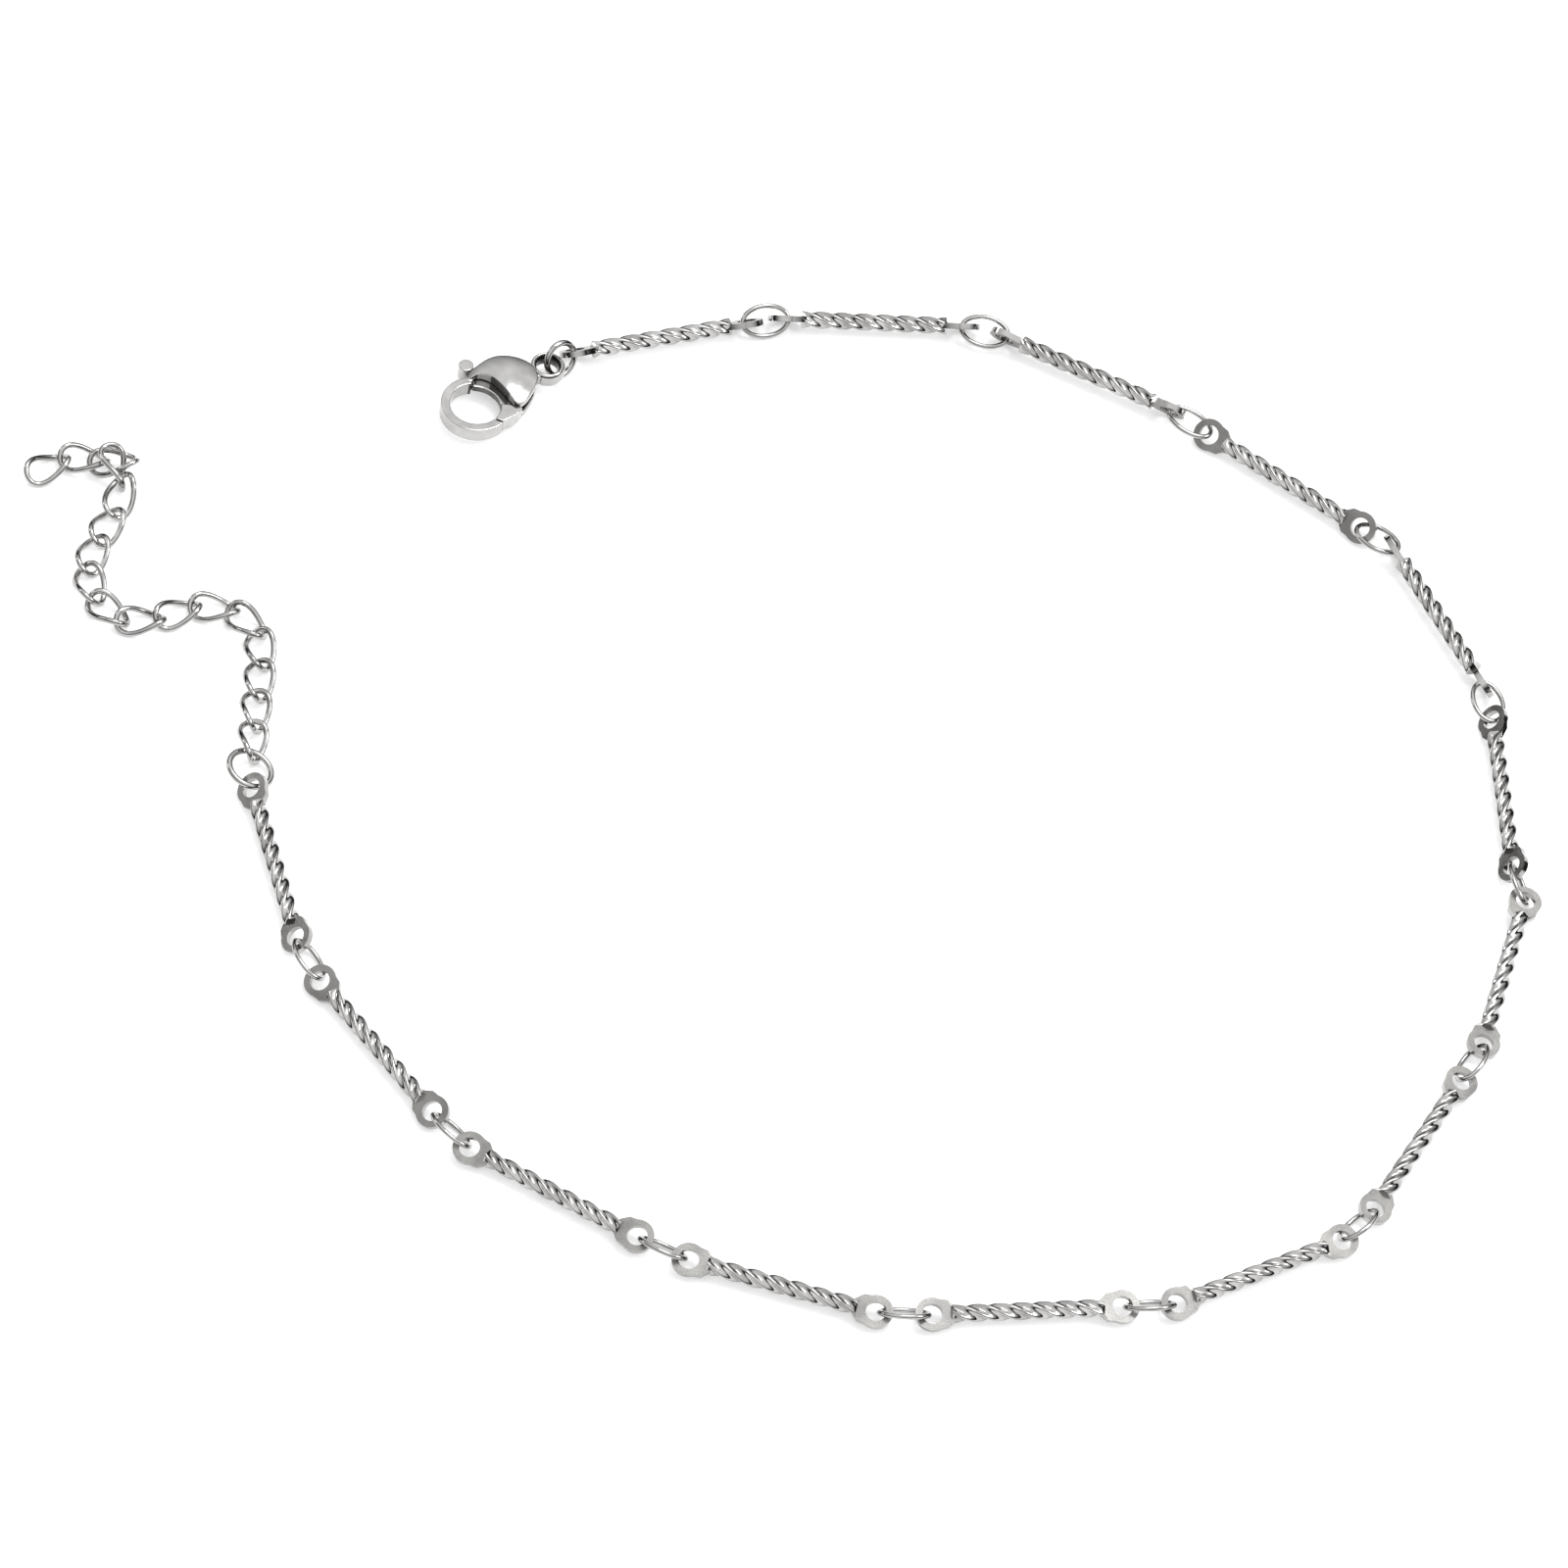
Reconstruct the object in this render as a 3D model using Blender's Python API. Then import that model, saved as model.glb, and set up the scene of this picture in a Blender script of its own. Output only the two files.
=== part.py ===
"""Chain anklet of polished steel, lying unfastened on a flat surface.

Fourteen bars of twisted square wire are joined by thin oval rings. A lobster clasp hangs on a
jump ring at one end, and a curb extender chain on a thicker jump ring at the other.
Lengths are in metres and +Z is up. The camera side of the photograph is -Y.
"""

import math

import bmesh
import bpy
import numpy as np
from mathutils import Matrix, Vector

MM = 0.001
UP = Vector((0.0, 0.0, 1.0))

# Clearance left between neighbouring pieces of this fine chain
GAP = 0.05 * MM

# Bars
BAR_SPAN = 12.6 * MM
BAR_SIDE = 0.93 * MM
BAR_TWIST_LENGTH = 9.5 * MM
BAR_QUARTER_TURNS = 6.5
BAR_STATIONS_PER_QUARTER = 3
BAR_CORE_BURIAL = 0.30 * MM
EYELET_DIAMETER = 2.25 * MM
EYELET_HOLE = 1.35 * MM
EYELET_THICKNESS = 0.40 * MM
EYELET_ARC_FROM_DEG = 62
SHOULDER_OUT = 1.05 * MM
SHOULDER_WIDTH = 1.84 * MM

# Oval rings between the bars, measured over the wire
RING_WIRE = 0.36 * MM
RING_LENGTH = 3.65 * MM
RING_WIDTH = 2.45 * MM

# Round jump rings, measured over the wire
CLASP_RING_WIRE = 0.45 * MM
CLASP_RING_DIAMETER = 2.85 * MM
TAIL_RING_WIRE = 0.45 * MM
TAIL_RING_DIAMETER = 3.45 * MM

# Curb links of the extender, measured over the wire. Their saddle twist rises one wire each way.
LINK_WIRE = 0.42 * MM
LINK_LENGTH = 3.70 * MM
LINK_WIDTH = 2.30 * MM
LINK_RISE = LINK_WIRE
LINK_BEND_TUCK = 0.16

# Lobster clasp. Its plan is drawn in shares of the hook's outer radius.
HOOK_RADIUS = 2.40 * MM
HOOK_BAND = 0.63 * MM
HOOK_THICKNESS = 1.10 * MM
HOOK_ROOT_DEG = 63
HOOK_TIP_DEG = 283
HOOK_BURIAL_DEG = 20
TIP_OVERRUN_DEG = 8
BODY_THICKNESS = 2.20 * MM
BODY_DOME_SPREAD = 1.50
SLOT_WIDTH = 0.64 * MM
SLOT_ROOT_DEG = 61
LEVER_THICKNESS = 0.50 * MM
KNOB_DIAMETER = 1.05 * MM
LOOP_OUTER = 2.52 * MM
LOOP_HOLE = 1.48 * MM
LOOP_HEIGHT = 1.10 * MM
NECK_WIDTH = 1.20 * MM
NECK_TAPER = 0.8
PIN_DIAMETER = 0.70 * MM
PIN_LENGTH = 1.50 * MM
LOOP_CENTRE = (2.67, 0.0)
PIVOT = (1.16, -0.24)
KNOB_CENTRE = (0.69, 1.28)
SLOT_BACK = 1.76
SLOT_FRONT = 0.70
SLOT_SIDE = 1.45
BODY_OUTLINE = (
    (0.42, 0.96), (0.62, 1.02), (0.95, 1.05), (1.28, 1.06), (1.64, 0.96), (2.02, 0.62),
    (2.20, 0.26), (2.18, -0.08), (1.96, -0.38), (1.58, -0.62), (1.16, -0.78), (0.93, -0.70),
    (0.94, -0.30), (0.95, 0.08), (0.90, 0.44), (0.76, 0.68), (0.60, 0.77), (0.44, 0.80),
)
LEVER_BACK = (
    (0.60, 0.92), (0.62, 1.05), (0.60, 1.18), (0.82, 1.26), (0.88, 1.02), (1.12, 0.78),
    (1.38, 0.40), (1.48, 0.0), (1.48, -0.30), (1.32, -0.52), (1.06, -0.70),
)
ARM_BACK = ((0.84, -0.60), (0.88, -0.76), (1.05, -0.85), (0.84, -0.94), (0.56, -0.98))
LEVER_FROM_DEG = -70
LEVER_TO_DEG = 56
ARM_FROM_DEG = -33

# Resolution of round forms
RING_SEGMENTS = 16
WIRE_BEVEL_RESOLUTION = 1
POST_SEGMENTS = 24
HOOK_STEPS = 24
LEVER_STEPS = 12
ARM_STEPS = 6
EYELET_STEPS = 12
HOLE_STEPS = 11
LOOP_SEGMENTS = (16, 8)
DOME_SEGMENTS = (28, 14)

# How the anklet lies. Headings are turned left from +X. Roll leans a bar's eyelets, and lean a
# ring's plane, from upright or flat towards the left of the way that the chain runs.
CLASP_HEADING = 49
CLASP_RING_LEAN = 24
CLASP_RING_HEADING = 50
CLASP_RING_PULL = 0.5
LOOP_PULL = 0.0
BARS = (
    # heading, roll
    (28, 45), (12, 50), (-16, 62), (-26, -43), (-54, 62), (-77, -48), (-96, 7),
    (-110, 14), (-142, 17), (-163, 17), (175, 17), (160, 18), (136, 30), (114, 42),
)
RINGS = (
    # heading, lean, pull: 1 is drawn tight and -1 pushed together
    (24, 51, -0.8), (-5, 66, -0.4), (-26, 98, 0.1), (-30, 97, -0.6), (-70, 96, -0.1),
    (-68, -34, -0.4), (-107, 46, 0.65), (-120, 47, 0.5), (-162, 47, 0.5), (-169, 48, 0.55),
    (164, 48, 0.6), (141, 49, 0.5), (125, 54, 0.65),
)
TAIL_RING_HEADING = 106
TAIL_RING_LEAN = 74
TAIL_RING_PULL = 0.8
FIRST_LINK_PUSH = 6 * GAP
LINKS = (
    # heading, roll
    (97, -30), (96, -20), (95, -10), (103, -4), (142, 0), (187, 0), (220, 0),
    (200, 0), (146, 0), (112, 0), (84, 0), (76, 0),
)
HEAP = (
    # The last five links climb over each other. Each centre is measured from the link before, in
    # shares of a link's length, and its height in wire thicknesses.
    # way, distance, height, heading, roll, climb
    (82, 0.72, 2.1, 88, 10, 14),
    (110, 0.56, 3.4, 120, -45, 20),
    (110, 0.20, 2.6, 190, 0, -12),
    (180, 0.55, 1.9, 188, 0, 0),
    (208, 0.70, 1.5, 228, 0, 0),
)


def mesh_object(name, mesh, collection):
    """Link a new object that shows the mesh."""
    thing = bpy.data.objects.new(name, mesh)
    collection.objects.link(thing)
    return thing


def new_collection(name, hidden=False):
    collection = bpy.data.collections.new(name)
    bpy.context.scene.collection.children.link(collection)
    collection.hide_render = hidden
    return collection


def polished(name, colour, roughness):
    """A metallic Principled material."""
    material = bpy.data.materials.new(name)
    material.use_nodes = True
    shader = material.node_tree.nodes["Principled BSDF"]
    shader.inputs["Base Color"].default_value = (*colour, 1.0)
    shader.inputs["Roughness"].default_value = roughness
    shader.inputs["Metallic"].default_value = 1.0
    return material


def mesh_from_curve(curve, name):
    """Turn a curve into a closed mesh with its caps welded."""
    holder = bpy.data.objects.new(name, curve)
    bpy.context.scene.collection.objects.link(holder)
    bpy.context.view_layer.update()
    graph = bpy.context.evaluated_depsgraph_get()
    mesh = bpy.data.meshes.new_from_object(holder.evaluated_get(graph))
    bpy.data.objects.remove(holder)
    work = bmesh.new()
    work.from_mesh(mesh)
    bmesh.ops.remove_doubles(work, verts=work.verts, dist=0.002 * MM)
    bmesh.ops.recalc_face_normals(work, faces=work.faces)
    work.to_mesh(mesh)
    work.free()
    mesh.name = name
    return mesh


def poly_spline(curve, points, cyclic=True):
    spline = curve.splines.new("POLY")
    spline.points.add(len(points) - 1)
    for target, point in zip(spline.points, points):
        x, y, z = (*point, 0.0)[:3]
        target.co = (x, y, z, 1.0)
    spline.use_cyclic_u = cyclic
    return spline


def plate(name, outlines, thickness):
    """A flat plate on the XY plane, from its outer outline and any holes."""
    curve = bpy.data.curves.new(name, "CURVE")
    curve.dimensions = "2D"
    curve.fill_mode = "BOTH"
    curve.extrude = thickness / 2
    for outline in outlines:
        poly_spline(curve, outline)
    return mesh_from_curve(curve, name)


def wire_loop(name, points, wire):
    """A closed loop of round wire along the points."""
    curve = bpy.data.curves.new(name, "CURVE")
    curve.dimensions = "3D"
    curve.bevel_depth = wire / 2
    curve.bevel_resolution = WIRE_BEVEL_RESOLUTION
    poly_spline(curve, points)
    mesh = mesh_from_curve(curve, name)
    mesh.shade_smooth()
    return mesh


def arc(centre, radius, start, end, steps):
    """Points along an arc, from start to end in degrees. No steps give the start alone."""
    shares = [i / steps for i in range(steps + 1)] if steps else [0.0]
    angles = [math.radians(start + (end - start) * share) for share in shares]
    return [(centre[0] + radius * math.cos(a), centre[1] + radius * math.sin(a)) for a in angles]


def ring_points(length, width, rise=0.0):
    """An ellipse along +X, with an optional saddle rise out of its plane."""
    points = []
    for i in range(RING_SEGMENTS):
        angle = 2 * math.pi * i / RING_SEGMENTS
        x = length / 2 * math.cos(angle)
        y = width / 2 * math.sin(angle)
        points.append((x, y, rise * math.sin(2 * angle)))
    return points


def combine(target, other, operation):
    """Apply one exact Boolean to the target and remove the other object."""
    modifier = target.modifiers.new(operation.title(), "BOOLEAN")
    modifier.operation = operation
    modifier.solver = "EXACT"
    modifier.object = other
    bpy.context.view_layer.update()
    graph = bpy.context.evaluated_depsgraph_get()
    mesh = bpy.data.meshes.new_from_object(target.evaluated_get(graph))
    target.modifiers.clear()
    mesh.name = target.data.name
    target.data = mesh
    bpy.data.objects.remove(other)


def twisted_core():
    """The twisted square wire between the eyelets, drawn as a tilted curve."""
    half = BAR_SIDE / 2
    profile_curve = bpy.data.curves.new("square_section", "CURVE")
    profile_curve.dimensions = "2D"
    poly_spline(profile_curve, [(half, half), (-half, half), (-half, -half), (half, -half)])
    profile = bpy.data.objects.new("square_section", profile_curve)
    bpy.context.scene.collection.objects.link(profile)

    stations = math.ceil(BAR_QUARTER_TURNS * BAR_STATIONS_PER_QUARTER)
    start = (BAR_SPAN - BAR_TWIST_LENGTH) / 2
    turn = math.radians(90 * BAR_QUARTER_TURNS)
    shares = [i / stations for i in range(stations + 1)]
    path = [(start - BAR_CORE_BURIAL, 0.0)]
    path += [(start + BAR_TWIST_LENGTH * share, turn * share) for share in shares]
    path += [(BAR_SPAN - start + BAR_CORE_BURIAL, turn)]

    curve = bpy.data.curves.new("core", "CURVE")
    curve.dimensions = "3D"
    curve.twist_mode = "Z_UP"
    curve.bevel_mode = "OBJECT"
    curve.bevel_object = profile
    curve.use_fill_caps = True
    spline = poly_spline(curve, [(x, 0.0, 0.0) for x, _ in path], cyclic=False)
    for point, (_, tilt) in zip(spline.points, path):
        point.tilt = tilt - turn / 2
    mesh = mesh_from_curve(curve, "core")
    bpy.data.objects.remove(profile)
    return mesh


def eyelet_outline(side):
    """The flattened end: a round tip, square shoulders and a short taper to the wire."""
    radius = EYELET_DIAMETER / 2
    neck = (BAR_SPAN - BAR_TWIST_LENGTH) / 2
    tip_end = 360 - EYELET_ARC_FROM_DEG
    tip = arc((0.0, 0.0), radius, EYELET_ARC_FROM_DEG, tip_end, EYELET_STEPS)
    outline = [*tip, (SHOULDER_OUT, -SHOULDER_WIDTH / 2), (neck, -BAR_SIDE / 2)]
    outline += [(neck, BAR_SIDE / 2), (SHOULDER_OUT, SHOULDER_WIDTH / 2)]
    if side > 0:
        return outline
    return [(BAR_SPAN - x, -y) for x, y in outline]


def bar_mesh(cutters):
    """One bar along +X, its origin at the centre of the first hole."""
    bar = mesh_object("bar", twisted_core(), cutters)
    for side, hole_x in ((1, 0.0), (-1, BAR_SPAN)):
        hole = arc((hole_x, 0.0), EYELET_HOLE / 2, 0, 330, HOLE_STEPS)
        eyelet = plate("eyelet", [eyelet_outline(side), hole], EYELET_THICKNESS)
        combine(bar, mesh_object("eyelet", eyelet, cutters), "UNION")
    mesh = bar.data
    bpy.data.objects.remove(bar)
    return mesh


def from_shares(points):
    """Clasp plan points, given in shares of the hook's radius, in metres."""
    return [(x * HOOK_RADIUS, y * HOOK_RADIUS) for x, y in points]


def upright_cylinder(name, centre, diameter, height, cutters):
    """A closed cylinder about a vertical axis through the centre."""
    work = bmesh.new()
    bmesh.ops.create_cone(
        work,
        cap_ends=True,
        segments=POST_SEGMENTS,
        radius1=diameter / 2,
        radius2=diameter / 2,
        depth=height,
    )
    mesh = bpy.data.meshes.new(name)
    work.to_mesh(mesh)
    work.free()
    mesh.transform(Matrix.Translation((centre[0], centre[1], 0.0)))
    return mesh_object(name, mesh, cutters)


def arm_reach():
    """The pivot, and how far from it the lever's arm ends at the hook's tip."""
    (pivot,) = from_shares([PIVOT])
    middle = HOOK_RADIUS - HOOK_BAND / 2
    (meeting,) = arc((0.0, 0.0), middle, HOOK_TIP_DEG, HOOK_TIP_DEG, 0)
    return pivot, math.dist(pivot, meeting)


def hook(cutters):
    """The fixed hook: most of a flat-faced ring, its tip cut to let the arm swing past."""
    inner = HOOK_RADIUS - HOOK_BAND
    start = HOOK_ROOT_DEG - HOOK_BURIAL_DEG
    end = HOOK_TIP_DEG + TIP_OVERRUN_DEG
    outline = arc((0.0, 0.0), HOOK_RADIUS, start, end, HOOK_STEPS)
    outline += arc((0.0, 0.0), inner, end, start, HOOK_STEPS)
    ring = mesh_object("hook", plate("hook", [outline], HOOK_THICKNESS), cutters)
    pivot, reach = arm_reach()
    sweep = upright_cylinder("sweep", pivot, 2 * (reach + 2 * GAP), 3 * HOOK_THICKNESS, cutters)
    combine(ring, sweep, "DIFFERENCE")
    return ring


def dome(cutters):
    """The body's plan, rounded above and below by a flattened sphere."""
    outline = from_shares(BODY_OUTLINE)
    body = mesh_object("body", plate("body", [outline], 2 * BODY_THICKNESS), cutters)
    xs = [x for x, _ in outline]
    ys = [y for _, y in outline]
    work = bmesh.new()
    around, up = DOME_SEGMENTS
    bmesh.ops.create_uvsphere(work, u_segments=around, v_segments=up, radius=1.0)
    mesh = bpy.data.meshes.new("pillow")
    work.to_mesh(mesh)
    work.free()
    centre = ((max(xs) + min(xs)) / 2, (max(ys) + min(ys)) / 2, 0.0)
    width = (max(xs) - min(xs)) / 2 * BODY_DOME_SPREAD
    depth = (max(ys) - min(ys)) / 2 * BODY_DOME_SPREAD
    size = Matrix.Diagonal((width, depth, BODY_THICKNESS / 2, 1.0))
    mesh.transform(Matrix.Translation(centre) @ size)
    combine(body, mesh_object("pillow", mesh, cutters), "INTERSECT")
    return body


def loop_and_neck(cutters):
    """The end loop, a thick rounded ring, with the neck that joins it to the body."""
    (centre,) = from_shares([LOOP_CENTRE])
    tube = (LOOP_OUTER - LOOP_HOLE) / 4
    around, across = LOOP_SEGMENTS
    bpy.ops.mesh.primitive_torus_add(
        major_segments=around,
        minor_segments=across,
        major_radius=LOOP_HOLE / 2 + tube,
        minor_radius=tube,
    )
    loop = bpy.context.object
    loop.data.transform(Matrix.Diagonal((1.0, 1.0, LOOP_HEIGHT / (2 * tube), 1.0)))
    loop.data.transform(Matrix.Translation((*centre, 0.0)))
    left = SLOT_BACK * HOOK_RADIUS
    right = centre[0] - LOOP_HOLE / 2 - tube
    half = NECK_WIDTH / 2
    narrow = half * NECK_TAPER
    outline = [(left, -half), (right, -narrow), (right, narrow), (left, half)]
    neck = mesh_object("neck", plate("neck", [outline], LOOP_HEIGHT * NECK_TAPER), cutters)
    combine(loop, neck, "UNION")
    return loop


def clasp_body_mesh(cutters):
    """Body, hook and loop in one solid, slotted for the lever and bored for the pin."""
    body = dome(cutters)
    combine(body, hook(cutters), "UNION")
    combine(body, loop_and_neck(cutters), "UNION")
    root = SLOT_SIDE / math.tan(math.radians(SLOT_ROOT_DEG))
    slot_plan = [(0.0, 0.0), (root, SLOT_SIDE), (SLOT_BACK, SLOT_SIDE)]
    slot_plan += [(SLOT_BACK, -SLOT_SIDE), (SLOT_FRONT, -SLOT_SIDE)]
    slot = plate("slot", [from_shares(slot_plan)], SLOT_WIDTH)
    combine(body, mesh_object("slot", slot, cutters), "DIFFERENCE")
    pivot, _ = arm_reach()
    bore = PIN_DIAMETER + 2 * GAP
    cutter = upright_cylinder("bore", pivot, bore, PIN_LENGTH + 2 * GAP, cutters)
    combine(body, cutter, "DIFFERENCE")
    mesh = body.data
    bpy.data.objects.remove(body)
    return mesh


def clasp_lever_mesh(cutters):
    """Thin plate in the slot, with a thick closing arm and a thumb knob."""
    pivot, reach = arm_reach()
    inner = HOOK_RADIUS - HOOK_BAND
    web_plan = arc((0.0, 0.0), inner, LEVER_FROM_DEG, LEVER_TO_DEG, LEVER_STEPS)
    web_plan += from_shares(LEVER_BACK)
    web_plan += arc((0.0, 0.0), HOOK_RADIUS, LEVER_FROM_DEG, LEVER_FROM_DEG, 0)
    lever = mesh_object("lever", plate("web", [web_plan], LEVER_THICKNESS), cutters)
    far = HOOK_TIP_DEG - 360 - TIP_OVERRUN_DEG
    arm_plan = arc((0.0, 0.0), inner, far, ARM_FROM_DEG, ARM_STEPS)
    arm_plan += from_shares(ARM_BACK)
    arm_plan += arc((0.0, 0.0), HOOK_RADIUS, LEVER_FROM_DEG, far, ARM_STEPS)
    arm = mesh_object("arm", plate("arm", [arm_plan], HOOK_THICKNESS), cutters)
    end = upright_cylinder("end", pivot, 2 * reach, 3 * HOOK_THICKNESS, cutters)
    combine(arm, end, "INTERSECT")
    combine(lever, arm, "UNION")
    (knob_at,) = from_shares([KNOB_CENTRE])
    knob = upright_cylinder("knob", knob_at, KNOB_DIAMETER, HOOK_THICKNESS, cutters)
    combine(lever, knob, "UNION")
    bore = upright_cylinder("bore", pivot, PIN_DIAMETER + 2 * GAP, HOOK_THICKNESS, cutters)
    combine(lever, bore, "DIFFERENCE")
    mesh = lever.data
    bpy.data.objects.remove(lever)
    return mesh


def flat_direction(heading):
    angle = math.radians(heading)
    return Vector((math.cos(angle), math.sin(angle), 0.0))


def leaned(along, lean):
    """The upright direction across a piece, leaned to the left of its way."""
    left = UP.cross(along).normalized()
    upright = along.cross(left)
    angle = math.radians(lean)
    return (upright * math.cos(angle) + left * math.sin(angle)).normalized()


def placement(origin, along, normal):
    """A world matrix with X along the piece and Z on its normal."""
    x_axis = along.normalized()
    y_axis = normal.cross(x_axis).normalized()
    z_axis = x_axis.cross(y_axis)
    rotation = Matrix((x_axis, y_axis, z_axis)).transposed().to_4x4()
    return Matrix.Translation(origin) @ rotation


def ring_rest(lean, width, wire):
    """Height of a leaned ring's centre when its low side lies on the surface."""
    return (width - wire) / 2 * abs(math.cos(math.radians(lean))) + wire / 2


def ring_placement(start, end, centre_distance, lean, rest):
    """A ring along both points whose plane has the lean, and which lies no lower than its rest."""
    along = (end - start).normalized()
    across = leaned(along, lean)
    centre = start + along * centre_distance
    centre.z = max(centre.z, rest)
    return placement(centre, along, along.cross(across))


def hole_height(roll, lean):
    """Height of an eyelet's hole: the eyelet's edge or its ring's low side carries it."""
    angle = math.radians(abs(roll))
    edge = EYELET_DIAMETER / 2 * math.sin(angle) + EYELET_THICKNESS / 2 * math.cos(angle)
    return max(edge, ring_rest(lean, RING_WIDTH, RING_WIRE))


def stepped(start, heading, length, height):
    """The point at a height that lies a straight length from the start."""
    rise = height - start.z
    run = math.sqrt(length * length - rise * rise)
    return start + flat_direction(heading) * run + UP * rise


def crossing(roll, lean):
    """Angle between an eyelet's normal and the wire of a ring that passes through it."""
    return math.radians((lean - roll + 90) % 180 - 90)


def eyelet_play(wire, slant):
    """How far along the chain a slanted wire can move from the centre of an eyelet's hole."""
    across = EYELET_THICKNESS / 2 * math.tan(abs(slant)) + wire / 2 / math.cos(slant)
    return math.sqrt((EYELET_HOLE / 2 - GAP) ** 2 - across**2) - wire / 2


def lay_bars_and_rings(start):
    """Walk along the chain from the first hole and return the placements and the last hole."""
    leans = [CLASP_RING_LEAN, *(lean for _, lean, _ in RINGS), TAIL_RING_LEAN]
    bars = []
    rings = []
    point = start
    for index, (heading, roll) in enumerate(BARS):
        height = hole_height(roll, leans[index + 1])
        end = stepped(point, heading, BAR_SPAN, height)
        bars.append(placement(point, end - point, leaned((end - point).normalized(), roll)))
        if index == len(RINGS):
            return bars, rings, end
        ring_heading, lean, pull = RINGS[index]
        next_roll = BARS[index + 1][1]
        reach = (RING_LENGTH - RING_WIRE) / 2
        first = reach + pull * eyelet_play(RING_WIRE, crossing(roll, lean))
        second = reach + pull * eyelet_play(RING_WIRE, crossing(next_roll, lean))
        next_height = hole_height(next_roll, lean)
        point = stepped(end, ring_heading, first + second, next_height)
        rest = ring_rest(lean, RING_WIDTH, RING_WIRE)
        rings.append(ring_placement(end, point, first, lean, rest))
    return bars, rings, point


def wire_bend(before, after):
    return math.radians(abs((after - before + 180) % 360 - 180))


def link_pitch(bend):
    """Distance between the centres of two curb links, less where the chain bends."""
    drawn_tight = LINK_LENGTH - 2 * LINK_WIRE - 3 * GAP
    return drawn_tight - LINK_BEND_TUCK * LINK_WIDTH * (1 - math.cos(bend))


def link_rest(roll):
    """Height of a rolled curb link's centre when its lowest wire lies on the surface."""
    angle = math.radians(roll)
    outline = ring_points(0.0, LINK_WIDTH - LINK_WIRE, -LINK_RISE)
    heights = [y * math.sin(angle) + z * math.cos(angle) for _, y, z in outline]
    return LINK_WIRE / 2 - min(heights)


def lay_extender(start):
    """Placements of the curb links, from the centre of the first."""
    places = []
    centre = Vector((start.x, start.y, link_rest(LINKS[0][1])))
    for index, (heading, roll) in enumerate(LINKS):
        along = flat_direction(heading)
        if index:
            before = LINKS[index - 1][0]
            half = link_pitch(wire_bend(before, heading)) / 2
            centre = centre + (flat_direction(before) + along) * half
            centre.z = link_rest(roll)
        places.append(placement(centre, along, leaned(along, roll)))
    for way, distance, height, heading, roll, climb in HEAP:
        centre = centre + flat_direction(way) * distance * LINK_LENGTH
        centre.z = height * LINK_WIRE
        rise = math.radians(climb)
        along = flat_direction(heading) * math.cos(rise) + UP * math.sin(rise)
        places.append(placement(centre, along, leaned(along, roll)))
    return places


def seat_on_surface(root, pieces):
    """Move the whole anklet so that its box stands centred on the origin."""
    bpy.context.view_layer.update()
    corners = []
    for piece in pieces:
        count = len(piece.data.vertices)
        flat = np.empty(count * 3, np.float32)
        piece.data.vertices.foreach_get("co", flat)
        world = np.array(piece.matrix_world)
        points = flat.reshape(count, 3) @ world[:3, :3].T + world[:3, 3]
        corners += [points.min(axis=0), points.max(axis=0)]
    low = np.min(corners, axis=0)
    high = np.max(corners, axis=0)
    root.location = (-(low[0] + high[0]) / 2, -(low[1] + high[1]) / 2, -low[2])


def clear_scene():
    for thing in list(bpy.data.objects):
        bpy.data.objects.remove(thing)


def add_piece(name, mesh, matrix, material, root):
    """Show one piece of the anklet, placed in the anklet's own frame."""
    piece = mesh_object(name, mesh, root.users_collection[0])
    if not mesh.materials:
        mesh.materials.append(material)
    piece.parent = root
    piece.matrix_local = matrix
    return piece


def lay_clasp(root, cutters, steel):
    """Add the clasp's three pieces and return them with the centre of its end loop."""
    clasp_at = placement(UP * BODY_THICKNESS / 2, flat_direction(CLASP_HEADING), UP)
    pivot, _ = arm_reach()
    pin = upright_cylinder("pin", pivot, PIN_DIAMETER, PIN_LENGTH, cutters).data
    meshes = {
        "clasp_body": clasp_body_mesh(cutters),
        "clasp_lever": clasp_lever_mesh(cutters),
        "clasp_pin": pin,
    }
    pieces = [add_piece(name, mesh, clasp_at, steel, root) for name, mesh in meshes.items()]
    (loop_centre,) = from_shares([LOOP_CENTRE])
    return pieces, clasp_at @ Vector((*loop_centre, 0.0))


def lay_clasp_ring(root, loop_at, steel):
    """Add the jump ring between the clasp and the first bar, and return the first hole."""
    centreline = CLASP_RING_DIAMETER - CLASP_RING_WIRE
    first_roll = BARS[0][1]
    play = eyelet_play(CLASP_RING_WIRE, crossing(first_roll, CLASP_RING_LEAN))
    loop_side = centreline / 2 + LOOP_PULL * (LOOP_HOLE - CLASP_RING_WIRE) / 2
    span = loop_side + centreline / 2 + CLASP_RING_PULL * play
    height = hole_height(first_roll, CLASP_RING_LEAN)
    first_hole = stepped(loop_at, CLASP_RING_HEADING, span, height)
    rest = ring_rest(CLASP_RING_LEAN, CLASP_RING_DIAMETER, CLASP_RING_WIRE)
    matrix = ring_placement(loop_at, first_hole, loop_side, CLASP_RING_LEAN, rest)
    mesh = wire_loop("clasp_ring", ring_points(centreline, centreline), CLASP_RING_WIRE)
    return add_piece("clasp_ring", mesh, matrix, steel, root), first_hole


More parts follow.
